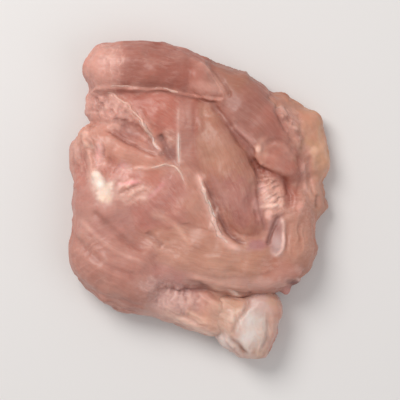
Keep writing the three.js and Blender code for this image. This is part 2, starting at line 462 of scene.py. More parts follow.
# ---- materials -----------------------------------------------------------------
def meat_material(name, bump=0.45, gloss=0.42, coat=0.34, sss=0.24, film_col=(228, 184, 172), speck=0.22):
    m = bpy.data.materials.new(name)
    m.use_nodes = True
    nt = m.node_tree
    nt.nodes.clear()

    def node(kind, **kw):
        x = nt.nodes.new(kind)
        for k, val in kw.items():
            setattr(x, k, val)
        return x

    def link(a, b):
        nt.links.new(a, b)

    def mth(op, a, b=None, clamp=False):
        x = node("ShaderNodeMath", operation=op, use_clamp=clamp)
        for s, val in zip(x.inputs, (a, b)):
            if val is None:
                continue
            if hasattr(val, "is_output"):
                link(val, s)
            else:
                s.default_value = val
        return x.outputs[0]

    def noise(vec, scale, detail=3.0, rough=0.55):
        x = node("ShaderNodeTexNoise")
        x.inputs["Scale"].default_value = scale
        x.inputs["Detail"].default_value = detail
        x.inputs["Roughness"].default_value = rough
        link(vec, x.inputs["Vector"])
        return x.outputs["Fac"]

    def ramp(val, lo, hi):
        x = node("ShaderNodeMapRange", interpolation_type="SMOOTHSTEP")
        link(val, x.inputs["Value"])
        x.inputs["From Min"].default_value = lo
        x.inputs["From Max"].default_value = hi
        return x.outputs["Result"]

    def mix(fac, a, b, mode="MIX"):
        x = node("ShaderNodeMix", data_type="RGBA", blend_type=mode)
        if hasattr(fac, "is_output"):
            link(fac, x.inputs[0])
        else:
            x.inputs[0].default_value = fac
        for s, val in ((x.inputs[6], a), (x.inputs[7], b)):
            if hasattr(val, "is_output"):
                link(val, s)
            else:
                s.default_value = (*val, 1.0)
        return x.outputs[2]

    tint = node("ShaderNodeAttribute", attribute_name="tint").outputs["Color"]
    fib = node("ShaderNodeAttribute", attribute_name="fib").outputs["Vector"]
    film = node("ShaderNodeAttribute", attribute_name="film").outputs["Fac"]
    net = node("ShaderNodeAttribute", attribute_name="net").outputs["Fac"]
    musc = node("ShaderNodeAttribute", attribute_name="muscle").outputs["Fac"]
    tc = node("ShaderNodeTexCoord").outputs["Object"]

    def scaled(vec, xyz):
        x = node("ShaderNodeVectorMath", operation="MULTIPLY")
        link(vec, x.inputs[0])
        x.inputs[1].default_value = xyz
        return x.outputs[0]

    # muscle fibres: long thin streaks along each muscle (fib is in mm)
    f1 = noise(scaled(fib, (0.055, 0.9, 0.9)), 1.0, 4.0, 0.6)
    f2 = noise(scaled(fib, (0.16, 2.6, 2.6)), 1.0, 3.0, 0.6)
    fib_mix = mth("ADD", mth("MULTIPLY", f1, 0.6), mth("MULTIPLY", f2, 0.4))
    # slow mottling and fine grain in space
    big = noise(tc, 95.0, 4.0, 0.6)
    mid = noise(tc, 330.0, 4.0, 0.6)
    fine = noise(tc, 1500.0, 3.0, 0.55)

    col = mix(mth("MULTIPLY", ramp(fib_mix, 0.47, 0.66), mth("MULTIPLY", musc, 0.14)), tint, (0.62, 0.36, 0.29))
    col = mix(mth("MULTIPLY", ramp(fib_mix, 0.52, 0.38), mth("MULTIPLY", musc, 0.15)), col, (0.30, 0.105, 0.075), "MIX")
    col = mix(ramp(big, 0.40, 0.66), col, mix(0.13, col, (0.70, 0.43, 0.36)))
    col = mix(ramp(mid, 0.50, 0.70), col, mix(0.10, col, (0.36, 0.15, 0.11)))
    # thin whitish membrane, broken into streaks and flecks
    streak = ramp(noise(scaled(fib, (0.22, 0.75, 0.75)), 1.0, 5.0, 0.68), 0.42, 0.62)
    fleck = ramp(noise(tc, 900.0, 2.0, 0.5), 0.56, 0.70)
    fm = mth("MULTIPLY", film, mth("ADD", mth("MULTIPLY", streak, 0.62), mth("MULTIPLY", fleck, speck), clamp=True), clamp=True)
    fc = lin(film_col)
    col = mix(mth("MULTIPLY", fm, 0.75), col, tuple(float(c) for c in fc))
    # torn tissue: crossing pale strings, drawn as thin level lines of slow noise
    wob = noise(scaled(tc, (1, 1, 1)), 420.0, 2.0, 0.5)
    wob2 = noise(scaled(tc, (1.7, 0.8, 1.2)), 520.0, 2.0, 0.5)

    def thread(val, width):
        return ramp(mth("ABSOLUTE", mth("SUBTRACT", val, 0.5)), width, width * 0.25)
    web = mth("MAXIMUM", thread(wob, 0.055), mth("MULTIPLY", thread(wob2, 0.045), 0.8))
    col = mix(mth("MULTIPLY", net, mth("MULTIPLY", web, 0.16)), col, (0.80, 0.56, 0.49))
    pits = ramp(mid, 0.50, 0.36)
    col = mix(mth("MULTIPLY", net, mth("MULTIPLY", pits, 0.22)), col, (0.42, 0.19, 0.15))

    grain = noise(tc, 760.0, 3.0, 0.6)
    height = mth("ADD", mth("MULTIPLY", mth("MULTIPLY", fib_mix, musc), 0.55),
                 mth("ADD", mth("MULTIPLY", fine, 0.14), mth("ADD", mth("MULTIPLY", grain, 0.34), mth("MULTIPLY", mid, 0.5))))
    height = mth("ADD", height, mth("MULTIPLY", net, mth("MULTIPLY", web, 0.25)))
    height = mth("ADD", height, mth("MULTIPLY", fm, 0.25))
    bp = node("ShaderNodeBump")
    bp.inputs["Strength"].default_value = bump
    bp.inputs["Distance"].default_value = 0.0006
    link(height, bp.inputs["Height"])

    rough = mth("ADD", gloss - 0.06, mth("MULTIPLY", mth("ADD", mid, fine), 0.13))
    rough = mth("ADD", rough, mth("MULTIPLY", film, 0.05), clamp=True)

    b = node("ShaderNodeBsdfPrincipled")
    link(col, b.inputs["Base Color"])
    link(rough, b.inputs["Roughness"])
    link(bp.outputs["Normal"], b.inputs["Normal"])
    b.inputs["Coat Weight"].default_value = coat
    b.inputs["Coat Roughness"].default_value = 0.27
    b.inputs["Coat IOR"].default_value = 1.36
    b.inputs["IOR"].default_value = 1.40
    b.inputs["Subsurface Weight"].default_value = sss
    b.inputs["Subsurface Radius"].default_value = (1.0, 0.42, 0.28)
    b.inputs["Subsurface Scale"].default_value = 0.0022
    out = node("ShaderNodeOutputMaterial")
    link(b.outputs["BSDF"], out.inputs["Surface"])
    return m


# ---- the flesh -------------------------------------------------------------------
def shank_blend(x, y):
    """Soft where the shank leaves the knee, sharp where the flap lies over it."""
    return 0.8 + 4.5 * smooth(-14, -27, x)


def long_blend(x, y):
    """The long muscle runs softly into the grey band up its left side, and at its lower end."""
    side = x - (12.5 - 0.43 * (y - 11.0))
    left = smooth(1.5, -4.0, side)
    return 0.9 + 4.6 * left * smooth(7, 17, y) + 2.6 * smooth(-2.0, 4.0, side) * smooth(11, 1, y)


FLESH = [
    Lobe("bed", (-1, 8, 8.5), (42, 37, 12.8), -35, col=(176, 118, 104)),
    Lobe("calf", (-31, -25, 10.5), (22, 16.5, 15.0), -24, taper=0.10, k=6, col=(190, 134, 120)),
    Lobe("knee", (-36, -3, 10.0), (14.5, 22, 14.6), 8, k=6, col=(194, 138, 126), fibre=0.6),
    Lobe("side_fray", (-38.5, 16, 6.5), (13.5, 14, 10.8), 20, k=3, col=(198, 148, 136), fibre=0.3),
    Lobe("hollow", (-30, 34, 8.0), (16.5, 11, 12.0), -30, k=3, col=(200, 146, 134), fibre=0.2),
    Lobe("lower_flap", (7, -19.5, 10.5), (38, 15, 13.4), -9, bend=-4, k=2.5, col=(190, 137, 117)),
    Lobe("flap_corner", (36.5, -19.5, 8.5), (10.5, 9.5, 11.0), 0, k=5, col=(188, 132, 112)),
    Lobe("right_flap", (36, -7, 8.0), (11.8, 22.5, 12.0), 3, k=5, col=(189, 137, 119)),
    Lobe("upper_right", (22, 29.5, 10.0), (27, 15, 13.8), -42, bend=2, k=1.6, col=(166, 108, 94)),
    Lobe("shoulder", (12, 44.0, 8.6), (16.5, 9.8, 11.4), -27, k=5, col=(164, 108, 90)),
    Lobe("fat_outer", (42.5, 20, 6.0), (11, 14.5, 9.5), 25, k=2.5, col=(198, 150, 124), fibre=0.0),
    Lobe("fat_step", (43.5, 29.5, 5.6), (8.0, 6.2, 7.6), 20, k=6, col=(194, 144, 118), fibre=0.0),
    Lobe("fat_top", (34.6, 36.4, 5.2), (8.0, 7.0, 7.8), -30, k=5, col=(184, 132, 110), fibre=0.0),
    Lobe("fat_low", (45.5, 3, 5.6), (5.5, 11, 8.8), 8, k=2, col=(197, 150, 128), fibre=0.0),
    Lobe("fat_bead", (50, -1, 4.5), (2.8, 2.8, 4.5), 0, k=1.0, col=(192, 142, 124), fibre=0.0),
    Lobe("fascia", (28.5, -4, 9.5), (9.5, 19, 11.6), 12, k=3, col=(196, 138, 122), fibre=0.4),
    Lobe("left_lower", (-17, 1, 10.5), (22, 16, 13.2), -40, k=5, col=(192, 126, 114)),
    Lobe("centre_band", (0, 2, 10.5), (28, 12.5, 13.0), -56, k=4.5, col=(190, 133, 115)),
    Lobe("left_band", (-23, 18, 11.0), (26, 10.5, 13.0), -26, bend=2, k=2.2, col=(205, 145, 127), fibre=0.7),
    Lobe("wedge", (-13.5, 33, 11.0), (20, 13, 12.4), -32, k=2.0, col=(186, 111, 95)),
    Lobe("grey_band", (-3.5, 27, 10.0), (11.5, 20, 12.5), 4, k=5, col=(180, 126, 113), fibre=0.8),
    Lobe("knob", (32.5, 15, 12.5), (10.5, 9.5, 10.0), -35, k=2.8, col=(182, 118, 102)),
    Lobe("cleft_end", (25.4, 13.6, 14.4), (5.0, 3.0, 5.0), -62, k=2.2, col=(176, 104, 86), fibre=0.3),
    Lobe("long_muscle", (12.5, 11, 11.5), (32.5, 12.0, 15.6), -69, bend=1.0, k=long_blend, col=(184, 127, 109)),
    Lobe("top_left", (-36.5, 52, 10.5), (8.8, 9.6, 13.0), 0, k=3.0, col=(170, 110, 97), fibre=0.8),
    Lobe("top_muscle", (-18.0, 52, 11), (27, 11.6, 14.8), -7, bend=2.4, taper=-0.06, k=5.0, col=(164, 103, 90), fibre=0.9),
    Lobe("top_tip", (1.6, 46.8, 13.2), (12.0, 6.0, 11.0), -42, k=0.9, col=(186, 124, 109), fibre=0.6),
    # smaller things that lie on them
    Lobe("under_layer", (-14, -28.8, 13.6), (14, 5.6, 6.8), -13, k=2.5, col=(192, 138, 130)),
    Lobe("gap_fill", (5.0, -33.0, 8.6), (24, 4.8, 7.2), -11, k=3.0, col=(176, 124, 114), fibre=0.3),
    Lobe("lip", (10.0, -27.4, 17.4), (31, 7.0, 4.2), -6, bend=-3.2, k=2.6, col=(204, 157, 145)),
    Lobe("lip_bed", (19.0, -34.2, 9.8), (14, 4.8, 7.6), -4, k=2.0, col=(186, 138, 124)),
    Lobe("white_lump", (-38.8, 8.4, 21.0), (4.2, 2.6, 2.7), -62, k=1.4, col=(255, 238, 226), fibre=0.0),
    Lobe("white_lump_mid", (-37.0, 5.2, 21.6), (3.4, 2.2, 2.5), -20, k=1.2, col=(248, 222, 208), fibre=0.0),
    Lobe("white_lump_low", (-35.6, 2.4, 21.8), (3.6, 2.0, 2.6), -70, k=1.2, col=(253, 232, 220), fibre=0.0),
    Lobe("fat_bit", (24.2, 20.2, 21.4), (1.5, 2.2, 1.9), 30, k=1.8, col=(222, 170, 150), fibre=0.0),
    Lobe("fat_bit_high", (25.9, 23.0, 21.3), (1.2, 2.9, 1.7), -24, k=1.8, col=(206, 150, 132), fibre=0.0),
    Lobe("fat_bit_low", (25.0, 16.6, 20.6), (1.2, 2.7, 1.7), 12, k=1.8, col=(200, 142, 124), fibre=0.0),
    Lobe("zigzag", (28.8, 2.0, 15.0), (11.0, 5.6, 5.6), -66, k=1.6, col=(206, 152, 137), fibre=0.2),
    Lobe("film_pad", (31.3, -13.6, 18.9), (8.4, 2.7, 1.6), 79, taper=0.06, k=1.2, col=(190, 146, 138), fibre=0.0, pitch=-4),
    Lobe("hang_dark", (37.4, -31.2, 6.2), (4.0, 2.4, 3.8), -14, k=2.4, col=(146, 96, 90), fibre=0.0),
    Lobe("hang_pink", (35.2, -34.2, 5.6), (3.7, 1.6, 4.0), -62, taper=-0.2, k=2.2, col=(205, 148, 140), fibre=0.0, roll=14),
    Lobe("hang_tail", (33.6, -32.4, 4.4), (2.6, 1.7, 3.4), 24, k=2.4, col=(194, 136, 126), fibre=0.0),
    Lobe("shank", (-17, -36.5, 8.6), (27, 10.2, 9.2), -21, k=shank_blend, col=(200, 160, 150), fibre=0.5),
    Lobe("shank_end", (-1, -42.4, 8.6), (22, 9.8, 9.0), -20, k=shank_blend, col=(204, 158, 144), fibre=0.5),
    # uneven tongues where the flesh ends on the tendon
    Lobe("shank_tongue", (7.2, -41.6, 12.9), (6.4, 3.0, 4.8), -34, k=3.4, col=(215, 170, 151), fibre=0.6),
    Lobe("shank_tongue_low", (5.2, -49.0, 10.0), (6.0, 2.6, 6.2), -14, k=3.2, col=(217, 176, 158), fibre=0.6),
]

# Places that stand up or sink: plan centre, half sizes, turn, height in mm.
RELIEF = [
    (227, 251.5, 10, 4.2, -27, -1.7),     # hollow between the pale ridge and the left band
    (214, 239, 9, 6, -20, -0.5),
    (243, 257, 3.4, 7, 18, -0.9),         # dark three-cornered hollow beside it
    (279, 253, 4.5, 3.0, -40, -0.9),      # deep end of the cleft beside the long muscle
    (300, 277, 3.6, 6.5, 15, -1.1),       # red hollow under the round muscle
    (201.5, 266, 2.6, 7, 5, -0.9),
    (215, 266, 3.5, 5, 0, -0.6),
    (308, 249, 5, 8, 15, 0.5),
    (253, 284, 5, 11, 25, 0.5),
    (266, 311, 16, 4, -2, 0.4),
    (236, 270, 7, 4, -10, 0.4),
]

STROKES = [
    # lower edge of the top muscle, and the shadow under it
    Stroke("edge", [(269, 233.4), (262, 232.8), (254, 231.6), (246, 230), (240, 228.4), (233, 228.6), (226, 227.6), (214, 227.4), (208, 228.2), (203.5, 231.4)],
           0.8, 1.0, tint=(214, 156, 141), strength=0.5, spread=0.8, ends=(0.03, 0.03), fall=3.0),
    Stroke("groove", [(231, 231), (238, 229.6), (246, 231.4), (254, 233), (262, 234.4), (268, 235.4)], 0.8, 0.5, tint=(150, 90, 76), strength=0.55, spread=0.8),
    # the pale ridge down the frayed side, and the hollow either side of it
    Stroke("ridge", [(213, 230), (218, 232.5), (222.5, 236), (227, 241), (231, 245.5), (234, 250), (236.5, 254.5), (240, 258.6)], 1.3, 0.9, tint=(228, 172, 156), strength=0.8, spread=1.4, ends=(0.12, 0.05)),
    Stroke("ridge", [(229, 243.4), (232.4, 248), (235, 252.6), (237.4, 256.4), (240.6, 258.8)], 0.9, 0.5, tint=(244, 196, 182), strength=0.8, spread=0.8),
    Stroke("groove", [(233, 251), (234.8, 254.4), (237.4, 258), (241, 260.4)], 0.8, 0.5, tint=(146, 92, 84), strength=0.6, spread=0.9),
    Stroke("groove", [(229, 236.5), (230.5, 239.5), (233.5, 243.5), (236.5, 248)], 0.9, 0.3, tint=(168, 104, 88), strength=0.35, spread=1.0),
    Stroke("groove", [(238.6, 249), (240, 253), (242, 257.5), (244.6, 262.4)], 1.3, 0.7, tint=(146, 98, 91), strength=0.65, spread=1.5),
    Stroke("ridge", [(213, 245.8), (216.6, 245.2), (220.4, 246)], 0.8, 0.4, tint=(240, 186, 168), strength=0.7, spread=0.8),
    Stroke("groove", [(238.6, 249.6), (239.4, 251.4), (240, 253.4)], 0.7, 0.5, tint=(112, 70, 60), strength=0.6, spread=0.7, ends=(0.2, 0.3)),
    Stroke("groove", [(213, 246.6), (219, 250.4), (226, 254.2), (233, 257.8), (238.6, 260.6)], 0.9, 0.7, tint=(160, 96, 82), strength=0.65, spread=1.0),
    # lines on the grey band and the left band
    Stroke("ridge", [(247.4, 236), (247.3, 246), (247.2, 255), (247.6, 264)], 0.6, 0.15, tint=(214, 168, 156), strength=0.5, spread=0.7),
    Stroke("ridge", [(247.3, 248.4), (247.2, 254), (247.3, 259), (247.7, 264.6)], 0.7, 0.25, tint=(240, 200, 188), strength=0.85, spread=0.75),
    Stroke("groove", [(254.6, 235), (255, 243), (254.6, 251), (256, 262), (258.6, 271)], 1.1, 0.45, tint=(172, 104, 88), strength=0.4, spread=1.1),
    Stroke("ridge", [(224, 265.8), (229, 265.6), (234, 265.6), (238.5, 264.8), (241.5, 263.9), (244.5, 264.4), (247, 266.4), (249.5, 270), (251, 275), (251.6, 280)], 0.8, 0.35,
           tint=(234, 180, 164), strength=0.7, spread=0.8, ends=(0.1, 0.3)),
    Stroke("ridge", [(255.5, 266), (258.5, 274), (260.6, 281), (262.8, 288), (265, 293.8), (268.6, 298.8), (273, 302.4), (278, 303.8)], 1.2, 0.9,
           tint=(240, 192, 178), strength=0.9, spread=1.5),
    # groove right of the ridge; its dark tint is painted shade
    Stroke("groove", [(258.8, 270), (262, 276.5), (265, 284), (267.4, 290), (271, 295.6), (275.5, 299.4), (280, 301)], 1.0, 1.1, tint=(136, 84, 76), strength=0.75, spread=1.0),
    # right side of the long muscle: the dark tints of the two long creases are painted shade; the short dark-red groove
    # where they meet is the flesh's own colour
    Stroke("groove", [(262, 234), (266, 239), (270, 244), (274, 249.4), (279, 255), (283.6, 260.4)], 1.1, 0.9, tint=(146, 90, 80), strength=0.65, spread=1.3),
    Stroke("groove", [(283.6, 262), (284, 270), (284.6, 279), (286.4, 288), (288.6, 297)], 0.9, 0.4, tint=(156, 98, 90), strength=0.4, spread=1.1),
    Stroke("groove", [(282.4, 262.4), (285, 265.6)], 1.0, 0.5, tint=(134, 72, 56), strength=0.7, spread=1.1, ends=(0, 0)),
    # red cleft under the round muscle, and up its right side
    Stroke("groove", [(284.6, 264.8), (289, 267.4), (294, 269.8), (298, 272.6), (299.8, 278), (299, 285)], 1.2, 1.4, tint=(150, 76, 60), strength=0.85, spread=1.4),
    Stroke("groove", [(302.6, 258), (304.6, 265), (304.6, 272), (302, 278)], 1.1, 0.7, tint=(166, 92, 76), strength=0.6, spread=1.4),
    Stroke("groove", [(291.8, 236), (294.6, 242.6), (298, 249), (301.6, 255.4)], 0.8, 0.6, tint=(146, 84, 70), strength=0.55, spread=0.8),
    Stroke("ridge", [(293.6, 236), (297, 242.5), (300.4, 249), (303.4, 255)], 1.5, 0.5, tint=(216, 160, 144), strength=0.55, spread=1.6),
    # the top muscle's tip: the pale tints along its rim are a painted highlight, and the dark tint in the groove beyond
    # it is painted shade
    Stroke("ridge", [(252, 214), (257, 217.6), (261.6, 222)], 1.0, 0.25, tint=(206, 148, 134), strength=0.5, spread=1.0),
    Stroke("edge", [(268.4, 233.2), (268.6, 230.6), (265, 225), (261, 219.6), (256.6, 215.6)], 0.8, 1.0, tint=(226, 172, 157), strength=0.65, spread=1.1, fall=2.6, up=-0.3, ends=(0.05, 0.1)),
    Stroke("groove", [(270.6, 233.4), (270.4, 229.8), (267, 224), (263, 218.6), (259, 215)], 0.9, 0.7, tint=(142, 90, 76), strength=0.6, spread=1.1, up=-0.2),
    Stroke("ridge", [(286.6, 257.6), (290, 255.4), (294, 254.8), (298, 257.4), (301.6, 262.4)], 1.2, 0.35, tint=(204, 148, 132), strength=0.5, spread=1.2),
    Stroke("groove", [(288, 254), (293, 252.4), (298, 254), (302, 258.6)], 1.1, 0.45, tint=(162, 100, 86), strength=0.4, spread=1.2),
    Stroke("ridge", [(272, 245.6), (276, 249), (280, 252.2), (283.6, 254.6)], 1.0, 0.35, tint=(200, 148, 138), strength=0.6, spread=1.2),
    # fat: soft creases
    Stroke("groove", [(303.6, 239), (304.6, 245), (304.2, 251)], 0.9, 0.4, tint=(184, 126, 104), strength=0.4, spread=1.0, zmin=3),
    Stroke("groove", [(289.6, 230.6), (292, 234), (295, 236.6)], 0.9, 0.7, tint=(164, 110, 84), strength=0.5, spread=1.1, zmin=3),
    Stroke("groove", [(309, 258), (308.8, 266), (309.6, 274), (312, 280)], 1.0, 0.5, tint=(186, 130, 112), strength=0.4, spread=1.2, zmin=3),
    Stroke("groove", [(312.4, 278.6), (312.6, 283)], 0.8, 0.8, tint=(160, 104, 82), strength=0.6, spread=0.9, ends=(0, 0), zmin=2, up=-0.2),
    Stroke("ridge", [(306.6, 262), (307, 270), (306.6, 277)], 1.1, 0.3, tint=(212, 164, 150), strength=0.6, spread=1.4),
    # wet pad of membrane: the dark left edge
    Stroke("groove", [(294.4, 287.4), (291.6, 292.6), (289.4, 298.4), (289, 302)], 0.8, 0.9, tint=(136, 82, 72), strength=0.75, spread=0.9),
    Stroke("groove", [(298, 289), (298.4, 296), (297, 303)], 0.8, 0.35, tint=(166, 100, 80), strength=0.5, spread=1.0),
    # lip over the shank; the dark tints of the two grooves are painted shade in the gap under the lip
    Stroke("groove", [(248, 318.2), (252, 318.6), (256, 319.4), (260, 321.2), (265, 322.8)], 1.1, 0.7, tint=(120, 78, 72), strength=0.75, spread=1.4, up=-0.5, ends=(0.45, 0.4)),
    Stroke("groove", [(271.6, 323), (276, 324.0), (282, 324.2)], 0.7, 0.4, tint=(124, 84, 76), strength=0.6, spread=0.8, up=-0.5),
    Stroke("ridge", [(252, 316.6), (259, 317.8), (266, 319.6), (274, 321.4), (283, 322)], 1.1, 0.35, tint=(208, 156, 139), strength=0.5, spread=1.2, up=-0.1),
    # strands along the shank's lower edge
    Stroke("ridge", [(244, 334.6), (251, 337.6), (257.6, 341.6), (263.6, 344.2)], 1.1, 0.4, tint=(232, 196, 180), strength=0.6, spread=1.2, up=-0.1, zmin=3, rough=0.7),
    Stroke("ridge", [(250, 331.8), (256, 335.4), (261.6, 339.4)], 0.9, 0.3, tint=(232, 190, 168), strength=0.5, spread=1.1, up=-0.1, zmin=3, rough=0.7),
    # folds on the flap
    Stroke("ridge", [(233.5, 286), (241, 289), (247, 293.5), (251, 299), (253.4, 304)], 1.4, 0.45, tint=(224, 174, 154), strength=0.6, spread=1.5),
    Stroke("groove", [(232, 295), (236, 298.6), (240.4, 302.2)], 1.0, 0.7, tint=(146, 92, 82), strength=0.6, spread=1.2),
    Stroke("ridge", [(238, 303), (248, 309), (260, 313.5), (274, 316)], 1.6, 0.3, tint=(208, 156, 138), strength=0.3, spread=2.0),
    # left side
    Stroke("ridge", [(203, 250), (204.8, 257), (206.8, 263.5), (207.6, 271)], 1.0, 0.7, tint=(226, 170, 152), strength=0.65, spread=1.0),
    Stroke("ridge", [(197.5, 251), (199, 258), (201, 264)], 0.9, 0.5, tint=(216, 166, 150), strength=0.5, spread=1.0),
    Stroke("ridge", [(210.4, 253), (210.8, 258), (210, 264)], 1.0, 0.4, tint=(240, 188, 178), strength=0.65, spread=1.2),
    Stroke("groove", [(218.6, 277.8), (224, 275.2), (229.6, 272.6)], 0.7, 0.3, tint=(160, 104, 90), strength=0.5, spread=0.7, rough=0.7),
    Stroke("groove", [(204, 246), (210, 243.8), (216, 245)], 0.8, 0.4, tint=(176, 122, 108), strength=0.4, spread=1.0),
    # the side that nothing shows: the calf's own seams
    Stroke("groove", [(206, 284), (214, 292), (223, 299), (233, 304)], 1.5, 0.9, tint=(160, 104, 92), strength=0.4, spread=1.6),
    Stroke("groove", [(197, 296), (206, 305), (217, 312), (230, 316)], 1.6, 0.8, tint=(164, 108, 98), strength=0.4, spread=1.6),
    Stroke("ridge", [(200, 288), (209, 297), (220, 305), (233, 310)], 1.2, 0.4, tint=(222, 172, 158), strength=0.45, spread=1.2),
    Stroke("groove", [(199, 318), (208, 324), (220, 328), (233, 331)], 1.4, 0.6, tint=(170, 118, 106), strength=0.35, spread=1.5, zmin=3),
]

